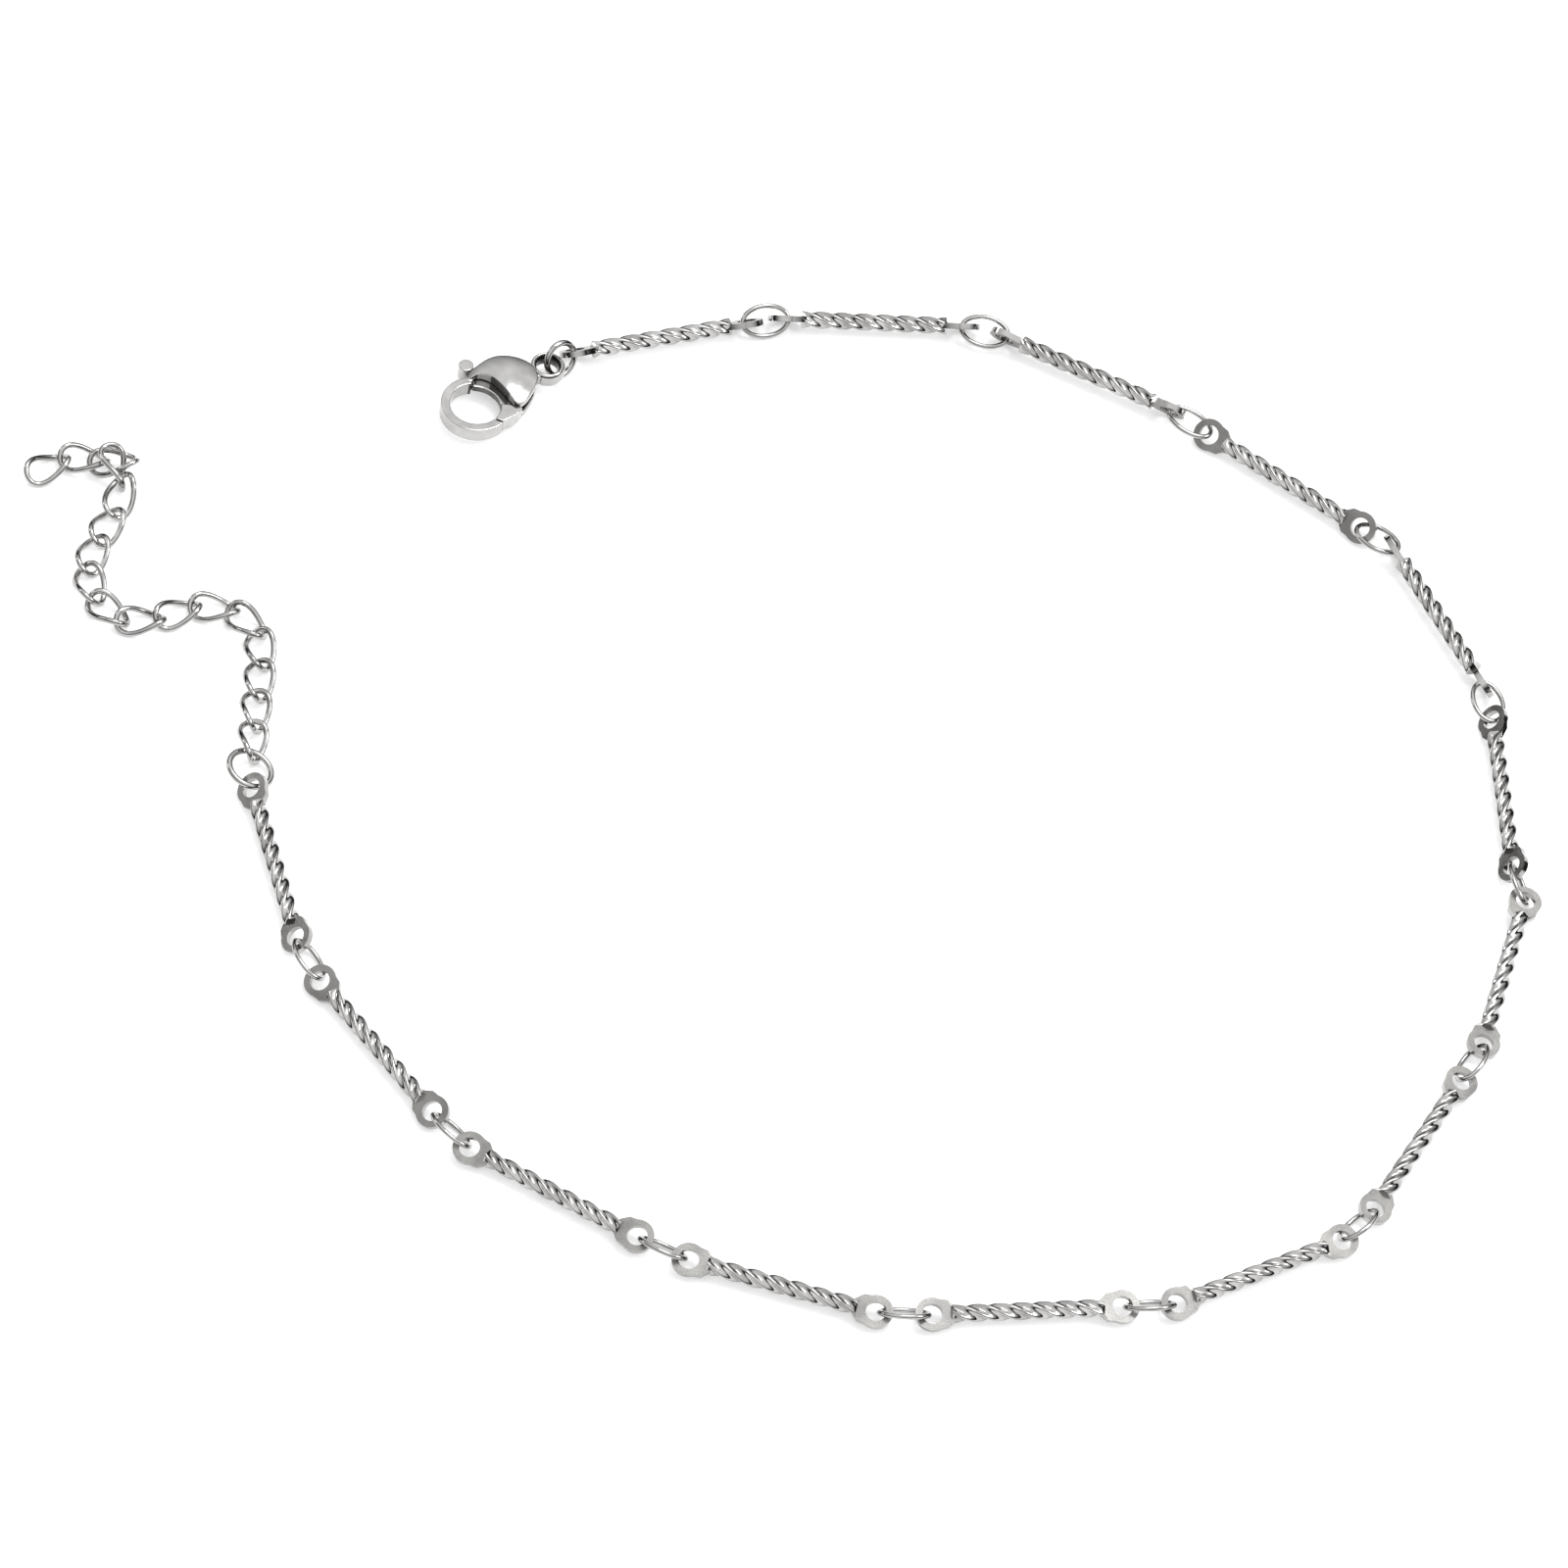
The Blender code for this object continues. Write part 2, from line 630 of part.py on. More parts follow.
def lay_tail(root, last_hole, steel):
    """Add the thick jump ring and the extender's links after the last bar."""
    reach = (TAIL_RING_DIAMETER - TAIL_RING_WIRE) / 2
    along = flat_direction(TAIL_RING_HEADING)
    play = eyelet_play(TAIL_RING_WIRE, crossing(BARS[-1][1], TAIL_RING_LEAN))
    centre = last_hole + along * (reach + TAIL_RING_PULL * play)
    centre.z = max(last_hole.z, ring_rest(TAIL_RING_LEAN, TAIL_RING_DIAMETER, TAIL_RING_WIRE))
    matrix = placement(centre, along, along.cross(leaned(along, TAIL_RING_LEAN)))
    ring = wire_loop("tail_ring", ring_points(2 * reach, 2 * reach), TAIL_RING_WIRE)
    pieces = [add_piece("tail_ring", ring, matrix, steel, root)]

    to_link = reach + LINK_LENGTH / 2 - LINK_WIRE - TAIL_RING_WIRE / 2 - FIRST_LINK_PUSH
    first_link = centre + flat_direction(LINKS[0][0]) * to_link
    outline = ring_points(LINK_LENGTH - LINK_WIRE, LINK_WIDTH - LINK_WIRE, -LINK_RISE)
    link = wire_loop("extender_link", outline, LINK_WIRE)
    for index, matrix in enumerate(lay_extender(first_link)):
        name = f"extender_link_{index + 1:02d}"
        pieces.append(add_piece(name, link, matrix, steel, root))
    return pieces


def main():
    clear_scene()
    anklet = new_collection("chain_anklet")
    cutters = new_collection("cutters", hidden=True)
    root = bpy.data.objects.new("anklet_frame", None)
    anklet.objects.link(root)
    chain_steel = polished("chain_steel", (0.80, 0.80, 0.81), 0.12)
    clasp_steel = polished("clasp_steel", (0.82, 0.82, 0.83), 0.10)

    pieces, loop_at = lay_clasp(root, cutters, clasp_steel)
    clasp_ring, first_hole = lay_clasp_ring(root, loop_at, chain_steel)
    pieces.append(clasp_ring)

    bars, rings, last_hole = lay_bars_and_rings(first_hole)
    bar = bar_mesh(cutters)
    for index, matrix in enumerate(bars):
        pieces.append(add_piece(f"bar_{index + 1:02d}", bar, matrix, chain_steel, root))
    oval = ring_points(RING_LENGTH - RING_WIRE, RING_WIDTH - RING_WIRE)
    ring = wire_loop("ring", oval, RING_WIRE)
    for index, matrix in enumerate(rings):
        pieces.append(add_piece(f"ring_{index + 1:02d}", ring, matrix, chain_steel, root))
    pieces += lay_tail(root, last_hole, chain_steel)

    for thing in list(cutters.objects):
        bpy.data.objects.remove(thing)
    seat_on_surface(root, pieces)


main()
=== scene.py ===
"""Looks of a polished steel chain anklet that lies unfastened on a pale surface.

Every link, ring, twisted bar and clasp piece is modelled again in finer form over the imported
solid that it stands for. Shapes are worked out in millimetres and placed in metres.
"""

import logging
import math
from collections.abc import Callable, Sequence
from dataclasses import dataclass, field
from enum import Enum

import bmesh
import bpy
from mathutils import Matrix, Vector


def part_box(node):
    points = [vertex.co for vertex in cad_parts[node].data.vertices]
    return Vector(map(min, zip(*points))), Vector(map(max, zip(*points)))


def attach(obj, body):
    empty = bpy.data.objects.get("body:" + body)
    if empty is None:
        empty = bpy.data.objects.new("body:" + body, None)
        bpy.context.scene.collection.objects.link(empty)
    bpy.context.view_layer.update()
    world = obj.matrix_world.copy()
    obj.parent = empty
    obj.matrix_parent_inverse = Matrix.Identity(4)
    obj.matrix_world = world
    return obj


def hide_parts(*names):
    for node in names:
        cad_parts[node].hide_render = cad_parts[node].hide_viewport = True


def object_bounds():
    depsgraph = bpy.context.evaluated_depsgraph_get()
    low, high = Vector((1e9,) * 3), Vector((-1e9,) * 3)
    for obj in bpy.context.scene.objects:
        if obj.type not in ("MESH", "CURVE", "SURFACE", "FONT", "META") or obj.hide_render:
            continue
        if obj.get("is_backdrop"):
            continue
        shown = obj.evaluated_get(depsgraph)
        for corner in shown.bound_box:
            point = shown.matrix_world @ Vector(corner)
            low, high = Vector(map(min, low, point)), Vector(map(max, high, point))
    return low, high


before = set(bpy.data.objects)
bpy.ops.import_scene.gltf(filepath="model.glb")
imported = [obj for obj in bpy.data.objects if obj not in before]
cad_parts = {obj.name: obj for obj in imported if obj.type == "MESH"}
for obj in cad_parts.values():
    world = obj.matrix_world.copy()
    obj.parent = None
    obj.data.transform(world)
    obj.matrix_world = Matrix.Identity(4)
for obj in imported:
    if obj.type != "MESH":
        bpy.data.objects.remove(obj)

log = logging.getLogger("anklet")

MM = 0.001
UP = Vector((0.0, 0.0, 1.0))
GAP = 0.05
NEAR = 1e-4

Point = tuple[float, float]
Solid = bpy.types.Object
PartTest = Callable[[bmesh.types.BMFace | bmesh.types.BMEdge], bool]


class Body(Enum):
    """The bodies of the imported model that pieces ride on."""

    ANKLET = "anklet"
    LEVER = "lever"


class Slot(Enum):
    """The material slots of the record."""

    CHAIN = "chain_steel"
    CLASP = "clasp_steel"


class End(Enum):
    """The two ends of a bar, as the way that its eyelet points along +X."""

    FIRST = 1
    LAST = -1


class Part(Enum):
    """What is picked on a mesh."""

    FACES = "FACE"
    EDGES = "EDGE"


class Bench:
    """The few bench moves that all pieces share."""

    @staticmethod
    def take(thing: Solid) -> None:
        """Select one object alone and make it active."""
        bpy.ops.object.select_all(action="DESELECT")
        thing.select_set(True)
        bpy.context.view_layer.objects.active = thing

    @staticmethod
    def fresh() -> Solid:
        """Take hold of the primitive that was just added.

        Returns:
            The primitive, selected alone.
        """
        thing = bpy.context.object
        Bench.take(thing)
        return thing

    @staticmethod
    def open(thing: Solid) -> None:
        """Enter edit mode with nothing selected."""
        Bench.take(thing)
        bpy.ops.object.mode_set(mode="EDIT")
        bpy.ops.mesh.select_all(action="DESELECT")

    @staticmethod
    def close() -> None:
        """Leave edit mode."""
        bpy.ops.object.mode_set(mode="OBJECT")

    @staticmethod
    def pick(thing: Solid, part: Part, test: PartTest) -> None:
        """Select just the faces or edges that pass the test.

        Args:
            thing: The object in edit mode.
            part: Whether faces or edges are picked.
            test: Says whether one is wanted, from its place or normal.
        """
        bpy.ops.mesh.select_mode(type=part.value)
        bpy.ops.mesh.select_all(action="DESELECT")
        work = bmesh.from_edit_mesh(thing.data)
        for one in work.faces if part is Part.FACES else work.edges:
            one.select_set(test(one))
        bmesh.update_edit_mesh(thing.data)

    @staticmethod
    def finish_with(thing: Solid, kind: str, **settings: object) -> None:
        """Add one modifier and apply it.

        Args:
            thing: The object that it works on.
            kind: The modifier's type.
            settings: Its values by name.
        """
        Bench.take(thing)
        modifier = thing.modifiers.new(kind.title(), kind)
        for name, value in settings.items():
            setattr(modifier, name, value)
        bpy.ops.object.modifier_apply(modifier=modifier.name)

    @staticmethod
    def combine(target: Solid, other: Solid, operation: str) -> None:
        """Join or cut the target with another solid, which is used up."""
        Bench.finish_with(target, "BOOLEAN", object=other, operation=operation, solver="EXACT")
        bpy.data.objects.remove(other)

    @staticmethod
    def prism(outline: Sequence[Point], thickness: float) -> Solid:
        """Raise a flat outline to a plate that is centred on the XY plane.

        Args:
            outline: The corners in order, in millimetres.
            thickness: How thick the plate is.

        Returns:
            The closed plate.
        """
        bpy.ops.mesh.primitive_circle_add(vertices=len(outline), fill_type="NGON")
        plate = Bench.fresh()
        for corner, (x, y) in zip(plate.data.vertices, outline):
            corner.co = (x, y, -thickness / 2)
        Bench.open(plate)
        bpy.ops.mesh.select_all(action="SELECT")
        bpy.ops.mesh.extrude_region_move(TRANSFORM_OT_translate={"value": (0, 0, thickness)})
        bpy.ops.mesh.select_all(action="SELECT")
        bpy.ops.mesh.normals_make_consistent(inside=False)
        Bench.close()
        return plate

    @staticmethod
    def post(centre: Point, diameter: float, height: float, sides: int = 64) -> Solid:
        """Add an upright cylinder about a point of the plan.

        Args:
            centre: The point that it is centred on.
            diameter: Its diameter.
            height: Its height.
            sides: How many sides it has.

        Returns:
            The cylinder.
        """
        bpy.ops.mesh.primitive_cylinder_add(
            vertices=sides, radius=diameter / 2, depth=height, location=(*centre, 0.0)
        )
        return Bench.settle(Bench.fresh())

    @staticmethod
    def settle(thing: Solid) -> Solid:
        """Put an object's place, turn and size into its mesh.

        Args:
            thing: The object.

        Returns:
            The same object, still selected.
        """
        Bench.take(thing)
        bpy.ops.object.transform_apply(location=True, rotation=True, scale=True)
        return thing


def arc(centre: Point, radius: float, start: float, end: float, steps: int) -> list[Point]:
    """Points along an arc.

    Args:
        centre: The arc's centre.
        radius: Its radius.
        start: The first angle in degrees.
        end: The last angle in degrees.
        steps: How many steps lie between them.

    Returns:
        The points from start to end.
    """
    angles = [math.radians(start + (end - start) * i / steps) for i in range(steps + 1)]
    return [(centre[0] + radius * math.cos(a), centre[1] + radius * math.sin(a)) for a in angles]


def smooth_outline(corners: Sequence[Point], steps: int) -> list[Point]:
    """Run a smooth closed line through the corners.

    Args:
        corners: The corners in order.
        steps: How many points replace each side.

    Returns:
        The points of the smooth line.
    """
    line = []
    count = len(corners)
    for index in range(count):
        a, b, c, d = (Vector(corners[(index + k - 1) % count]) for k in range(4))
        for step in range(steps):
            t = step / steps
            bend = (2 * a - 5 * b + 4 * c - d) * t * t + (3 * b - a - 3 * c + d) * t**3
            point = b + ((c - a) * t + bend) / 2
            line.append((point.x, point.y))
    return line


@dataclass(frozen=True)
class SteelFinish:
    """One finish of the steel, or a dark painted shade of it: its colour, how sharply it reflects,
    and its fine marks.
    """

    name: str
    colour: tuple[float, float, float]
    shade: tuple[float, float, float]
    roughness_low: float
    roughness_high: float
    mark_scale: float
    mark_depth: float
    mark_detail: float = 4.0
    mark_range: tuple[float, float] = (0.3, 0.7)
    mark_strength: float = 0.35
    cloud_scale: float = 0.55
    cloud_detail: float = 3.0
    cloud_range: tuple[float, float] = (0.35, 0.65)

    def material(self) -> bpy.types.Material:
        """Make the finish as a node material that reads Object coordinates.

        Returns:
            The new material.
        """
        material = bpy.data.materials.new(self.name)
        material.use_nodes = True
        nodes, links = material.node_tree.nodes, material.node_tree.links
        shader = nodes["Principled BSDF"]
        shader.inputs["Metallic"].default_value = 1.0
        place = nodes.new("ShaderNodeTexCoord")
        millimetres = nodes.new("ShaderNodeMapping")
        millimetres.inputs["Scale"].default_value = (1 / MM, 1 / MM, 1 / MM)
        links.new(place.outputs["Object"], millimetres.inputs["Vector"])

        cloudy = nodes.new("ShaderNodeTexNoise")
        cloudy.inputs["Scale"].default_value = self.cloud_scale
        cloudy.inputs["Detail"].default_value = self.cloud_detail
        links.new(millimetres.outputs["Vector"], cloudy.inputs["Vector"])
        tones = nodes.new("ShaderNodeValToRGB")
        ends = zip(tones.color_ramp.elements, self.cloud_range, (self.shade, self.colour))
        for stop, position, colour in ends:
            stop.position = position
            stop.color = (*colour, 1.0)
        links.new(cloudy.outputs["Fac"], tones.inputs["Fac"])
        links.new(tones.outputs["Color"], shader.inputs["Base Color"])

        marks = nodes.new("ShaderNodeTexNoise")
        marks.inputs["Scale"].default_value = self.mark_scale
        marks.inputs["Detail"].default_value = self.mark_detail
        links.new(millimetres.outputs["Vector"], marks.inputs["Vector"])
        wear = nodes.new("ShaderNodeMapRange")
        wear.inputs["From Min"].default_value = self.mark_range[0]
        wear.inputs["From Max"].default_value = self.mark_range[1]
        wear.inputs["To Min"].default_value = self.roughness_low
        wear.inputs["To Max"].default_value = self.roughness_high
        links.new(marks.outputs["Fac"], wear.inputs["Value"])
        links.new(wear.outputs["Result"], shader.inputs["Roughness"])
        relief = nodes.new("ShaderNodeBump")
        relief.inputs["Strength"].default_value = self.mark_strength
        relief.inputs["Distance"].default_value = self.mark_depth * MM
        links.new(marks.outputs["Fac"], relief.inputs["Height"])
        links.new(relief.outputs["Normal"], shader.inputs["Normal"])
        return material


POLISHED = SteelFinish(
    "polished_steel", (0.50, 0.495, 0.49), (0.34, 0.335, 0.33), 0.07, 0.15, 5.0, 0.006
)
SATIN = SteelFinish(
    "satin_steel", (0.32, 0.315, 0.305), (0.22, 0.215, 0.21), 0.24, 0.36, 9.0, 0.012
)
CAST = SteelFinish("cast_steel", (0.52, 0.515, 0.51), (0.39, 0.385, 0.38), 0.08, 0.15, 3.0, 0.004)
# Not a finish of its own: a dark steel that paints shade onto the clasp's inner walls around its
# openings.
PAINTED_SHADE = SteelFinish(
    "painted_shade_steel", (0.16, 0.155, 0.15), (0.06, 0.06, 0.06), 0.22, 0.40, 6.0, 0.008
)


@dataclass
class Steel:
    """The steel materials, made once and shared."""

    made: dict[str, bpy.types.Material] = field(default_factory=dict)

    def get(self, finish: SteelFinish) -> bpy.types.Material:
        """Give a finish its material, which is made on its first use.

        Args:
            finish: The finish.

        Returns:
            Its shared material.
        """
        if finish.name not in self.made:
            self.made[finish.name] = finish.material()
        return self.made[finish.name]


@dataclass
class Placer:
    """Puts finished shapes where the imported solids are, and checks them against those."""

    steel: Steel
    seat: Matrix = field(default_factory=Matrix)
    limit: float = 0.2
    worst: float = 0.0

    def place(
        self, name: str, pattern: bpy.types.Mesh, matrix: Matrix, node: str, slot: Slot, body: Body
    ) -> Solid:
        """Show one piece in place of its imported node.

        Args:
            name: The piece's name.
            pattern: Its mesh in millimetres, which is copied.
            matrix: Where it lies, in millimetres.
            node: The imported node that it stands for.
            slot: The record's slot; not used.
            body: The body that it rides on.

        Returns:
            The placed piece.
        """
        mesh = pattern.copy()
        mesh.name = name
        mesh.transform(Matrix.Scale(MM, 4) @ self.seat @ matrix)
        piece = bpy.data.objects.new(name, mesh)
        bpy.context.scene.collection.objects.link(piece)
        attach(piece, body.value)
        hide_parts(node)
        self.compare(piece, node)
        return piece

    def compare(self, piece: Solid, node: str) -> None:
        """Measure how far a piece's box is from its node's.

        Args:
            piece: The placed piece.
            node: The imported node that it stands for.

        Raises:
            ValueError: If the two are further apart than the limit.
        """
        low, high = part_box(node)
        corners = [vertex.co for vertex in piece.data.vertices]
        off = 0.0
        for axis in range(3):
            places = [corner[axis] for corner in corners]
            off = max(off, abs(min(places) - low[axis]), abs(max(places) - high[axis]))
        self.worst = max(self.worst, off / MM)
        log.info("%s stands for %s, boxes %.3f mm apart", piece.name, node, off / MM)
        if off > self.limit * MM:
            raise ValueError(f"{piece.name} isn't where {node} is: {off / MM:.3f} mm off")


@dataclass
class TwistedBar:
    """A bar of twisted square wire, flattened and pierced at both ends."""

    span: float = 12.6
    side: float = 0.93
    twist_length: float = 9.5
    quarter_turns: float = 6.5
    burial: float = 0.30
    eyelet_diameter: float = 2.25
    eyelet_hole: float = 1.35
    eyelet_thickness: float = 0.40
    arc_from: float = 62.0
    shoulder_out: float = 1.05
    shoulder_width: float = 1.84
    corner_round: float = 0.15
    corner_steps: int = 3
    hollow_inset: float = 0.10
    hollow_depth: float = 0.045
    hollow_shares: tuple[float, ...] = (0.6, 1.0, 0.4)
    side_from: float = 0.98
    steps: int = 90
    edge_round: float = 0.06
    edge_angle: float = 50.0
    rim_sides: int = 72
    hole_sides: int = 56
    satin_from: float = 0.97
    smooth_angle: float = 40.0

    def core(self) -> Solid:
        """Twist a square wire whose faces are slightly hollow.

        Returns:
            The wire, centred on the origin along X.
        """
        length = self.twist_length + 2 * self.burial
        bpy.ops.mesh.primitive_cube_add(size=1.0)
        wire = Bench.fresh()
        wire.scale = (length, self.side, self.side)
        Bench.settle(wire)
        Bench.open(wire)
        Bench.pick(
            wire, Part.EDGES, lambda e: abs(e.verts[0].co.x - e.verts[1].co.x) > length / 2
        )
        bpy.ops.mesh.bevel(offset=self.corner_round, segments=self.corner_steps, profile=0.5)
        Bench.pick(
            wire, Part.FACES, lambda f: max(abs(f.normal.y), abs(f.normal.z)) > self.side_from
        )
        for share in self.hollow_shares:
            bpy.ops.mesh.inset(
                thickness=self.hollow_inset, depth=-self.hollow_depth * share, use_individual=True
            )
        Bench.pick(
            wire, Part.EDGES, lambda e: abs(e.verts[0].co.x - e.verts[1].co.x) > length / 2
        )
        bpy.ops.mesh.subdivide(number_cuts=self.steps)
        Bench.close()
        turn = math.radians(90 * self.quarter_turns) * length / self.twist_length
        Bench.finish_with(
            wire, "SIMPLE_DEFORM", deform_method="TWIST", deform_axis="X", angle=turn
        )
        wire.location.x = self.span / 2
        return Bench.settle(wire)

    def eyelet(self, end: End) -> Solid:
        """Flatten one end to a pierced plate with square shoulders.

        Args:
            end: Which end of the bar it is.

        Returns:
            The plate with its edges rounded.
        """
        radius = self.eyelet_diameter / 2
        neck = (self.span - self.twist_length) / 2
        chord = radius * math.cos(math.radians(self.arc_from))
        chord_width = 2 * radius * math.sin(math.radians(self.arc_from))
        plate = Bench.post(
            (0.0, 0.0), self.eyelet_diameter, self.eyelet_thickness, self.rim_sides
        )
        Bench.open(plate)
        bpy.ops.mesh.select_all(action="SELECT")
        bpy.ops.mesh.bisect(
            plane_co=(chord, 0, 0), plane_no=(1, 0, 0), use_fill=True, clear_outer=True
        )
        stages = (
            (self.shoulder_out - chord, self.shoulder_width / chord_width),
            (neck - self.shoulder_out, self.side / self.shoulder_width),
        )
        for reach, narrowing in stages:
            far = max(v.co.x for v in bmesh.from_edit_mesh(plate.data).verts)
            Bench.pick(plate, Part.FACES, lambda f: f.calc_center_median().x > far - NEAR)
            bpy.ops.mesh.extrude_region_move(TRANSFORM_OT_translate={"value": (reach, 0, 0)})
            bpy.ops.transform.resize(value=(1, narrowing, 1))
        Bench.close()
        hole = Bench.post(
            (0.0, 0.0), self.eyelet_hole, 3 * self.eyelet_thickness, self.hole_sides
        )
        Bench.combine(plate, hole, "DIFFERENCE")
        Bench.finish_with(
            plate,
            "BEVEL",
            width=self.edge_round,
            segments=1,
            limit_method="ANGLE",
            angle_limit=math.radians(self.edge_angle),
        )
        if end is End.LAST:
            plate.location.x = self.span
            plate.rotation_euler.z = math.pi
        return Bench.settle(plate)

    def pattern(self, steel: Steel) -> bpy.types.Mesh:
        """Join wire and eyelets, and give the flat faces their satin finish.

        Args:
            steel: The shared materials.

        Returns:
            The bar's mesh, its first hole at the origin.
        """
        bar = self.core()
        for end in End:
            Bench.combine(bar, self.eyelet(end), "UNION")
        Bench.take(bar)
        mesh = bar.data
        mesh.materials.clear()
        for finish in (POLISHED, SATIN):
            mesh.materials.append(steel.get(finish))
        start = (self.span - self.twist_length) / 2
        for face in mesh.polygons:
            on_plate = not start < face.center.x < self.span - start
            face.material_index = int(on_plate and abs(face.normal.z) > self.satin_from)
        bpy.ops.object.shade_smooth_by_angle(angle=math.radians(self.smooth_angle))
        bpy.data.objects.remove(bar)
        return mesh


@dataclass
class WireRing:
    """A closed ring or link of round wire, measured over the wire."""

    length: float
    width: float
    wire: float
    rise: float = 0.0
    fullness: float = 0.97
    steps: int = 72
    roundness: int = 5
    weld: float = 0.002

    def pattern(self, steel: Steel) -> bpy.types.Mesh:
        """Bend a round wire into the ring.

        Args:
            steel: The shared materials.

        Returns:
            The ring's mesh, centred on the origin along X.
        """
        bpy.ops.mesh.primitive_circle_add(vertices=self.steps)
        ring = Bench.fresh()
        for index, vertex in enumerate(ring.data.vertices):
            angle = 2 * math.pi * index / self.steps
            vertex.co = (
                (self.length - self.wire) / 2 * math.cos(angle),
                (self.width - self.wire) / 2 * math.sin(angle),
                self.rise * math.sin(2 * angle),
            )
        bpy.ops.object.convert(target="CURVE")
        ring = Bench.fresh()
        ring.data.dimensions = "3D"
        ring.data.bevel_depth = self.wire / 2 * self.fullness
        ring.data.bevel_resolution = self.roundness
        bpy.ops.object.convert(target="MESH")
        ring = Bench.fresh()
        Bench.open(ring)
        bpy.ops.mesh.select_all(action="SELECT")
        bpy.ops.mesh.remove_doubles(threshold=self.weld)
        bpy.ops.mesh.normals_make_consistent(inside=False)
        Bench.close()
        bpy.ops.object.shade_smooth()
        mesh = ring.data
        mesh.materials.clear()
        mesh.materials.append(steel.get(POLISHED))
        bpy.data.objects.remove(ring)
        return mesh


@dataclass
class LobsterClasp:
    """The clasp: a domed body with its hook and end loop, a lever and a plain pin."""

    hook_radius: float = 2.40
    hook_band: float = 0.63
    hook_thickness: float = 1.10
    hook_root: float = 63.0
    hook_tip: float = 283.0
    hook_burial: float = 20.0
    tip_overrun: float = 8.0
    body_thickness: float = 2.20
    dome_spread: float = 1.50
    slot_width: float = 0.64
    slot_root: float = 61.0
    lever_thickness: float = 0.50
    knob_diameter: float = 1.05
    loop_outer: float = 2.52
    loop_hole: float = 1.48
    loop_height: float = 1.10
    neck_width: float = 1.20
    neck_taper: float = 0.8
    pin_diameter: float = 0.70
    pin_length: float = 1.50
    loop_centre: Point = (2.67, 0.0)
    pivot: Point = (1.16, -0.24)
    knob_centre: Point = (0.69, 1.28)
    slot_back: float = 1.76
    slot_front: float = 0.70
    slot_side: float = 1.45
    lever_from: float = -70.0
    lever_to: float = 56.0
    arm_from: float = -33.0
    body_outline: tuple[Point, ...] = (
        (0.42, 0.96), (0.62, 1.02), (0.95, 1.05), (1.28, 1.06), (1.64, 0.96), (2.02, 0.62),
        (2.20, 0.26), (2.18, -0.08), (1.96, -0.38), (1.58, -0.62), (1.16, -0.78),
        (0.93, -0.70), (0.94, -0.30), (0.95, 0.08), (0.90, 0.44), (0.76, 0.68), (0.60, 0.77),
        (0.44, 0.80),
    )
    lever_back: tuple[Point, ...] = (
        (0.60, 0.92), (0.62, 1.05), (0.60, 1.18), (0.82, 1.26), (0.88, 1.02), (1.12, 0.78),
        (1.38, 0.40), (1.48, 0.0), (1.48, -0.30), (1.32, -0.52), (1.06, -0.70),
    )
    arm_back: tuple[Point, ...] = (
        (0.84, -0.60), (0.88, -0.76), (1.05, -0.85), (0.84, -0.94), (0.56, -0.98),
    )
    # Painted shade goes on faces beyond this share of the hook's radius that face an opening this
    # closely.
    painted_shade_from: float = 0.30
    painted_shade_facing: float = 0.75
    grain: float = 0.045
    smoothing: int = 6
    smooth_share: float = 0.5
    outline_steps: int = 6
    dome_steps: tuple[int, int] = (96, 64)
    hook_steps: int = 90
    swing_sides: int = 128
    loop_steps: tuple[int, int] = (72, 28)
    web_steps: int = 48
    arm_steps: int = 24
    pin_chamfer: float = 0.05
    pin_edge_angle: float = 50.0
    pin_smooth_angle: float = 30.0

    def shares(self, points: Sequence[Point]) -> list[Point]:
        """Turn plan points given in shares of the hook's radius into millimetres."""
        return [(x * self.hook_radius, y * self.hook_radius) for x, y in points]

    def plan(self, point: Point) -> Point:
        """Turn one plan point into millimetres."""
        return self.shares([point])[0]

    def reach(self) -> float:
        """How far the lever's arm ends from the pivot."""
        middle = self.hook_radius - self.hook_band / 2
        return math.dist(self.plan(self.pivot), arc((0, 0), middle, self.hook_tip, 360, 1)[0])

    def cast(self, solid: Solid) -> None:
        """Round all edges as on a cast and tumbled piece.

        Args:
            solid: The piece, which is reshaped.
        """
        Bench.finish_with(solid, "REMESH", mode="VOXEL", voxel_size=self.grain, adaptivity=0.0)
        Bench.finish_with(solid, "SMOOTH", factor=self.smooth_share, iterations=self.smoothing)
        Bench.take(solid)
        bpy.ops.object.shade_smooth()

    def dome(self) -> Solid:
        """Round the body's plan above and below with a flattened sphere.

        Returns:
            The domed body.
        """
        corners = self.shares(self.body_outline)
        body = Bench.prism(
            smooth_outline(corners, self.outline_steps), 2 * self.body_thickness
        )
        xs, ys = zip(*corners)
        bpy.ops.mesh.primitive_uv_sphere_add(
            segments=self.dome_steps[0],
            ring_count=self.dome_steps[1],
            location=((max(xs) + min(xs)) / 2, (max(ys) + min(ys)) / 2, 0.0),
        )
        pillow = Bench.fresh()
        pillow.scale = (
            (max(xs) - min(xs)) / 2 * self.dome_spread,
            (max(ys) - min(ys)) / 2 * self.dome_spread,
            self.body_thickness / 2,
        )
        Bench.combine(body, Bench.settle(pillow), "INTERSECT")
        return body

    def hook(self) -> Solid:
        """Shape the fixed hook, its tip cut to let the arm swing past.

        Returns:
            The hook, with its root inside the body.
        """
        inner = self.hook_radius - self.hook_band
        start = self.hook_root - self.hook_burial
        end = self.hook_tip + self.tip_overrun
        outline = arc((0, 0), self.hook_radius, start, end, self.hook_steps)
        outline += arc((0, 0), inner, end, start, self.hook_steps)
        ring = Bench.prism(outline, self.hook_thickness)
        swing = 2 * (self.reach() + 2 * GAP)
        sweep = Bench.post(
            self.plan(self.pivot), swing, 3 * self.hook_thickness, self.swing_sides
        )
        Bench.combine(ring, sweep, "DIFFERENCE")
        return ring

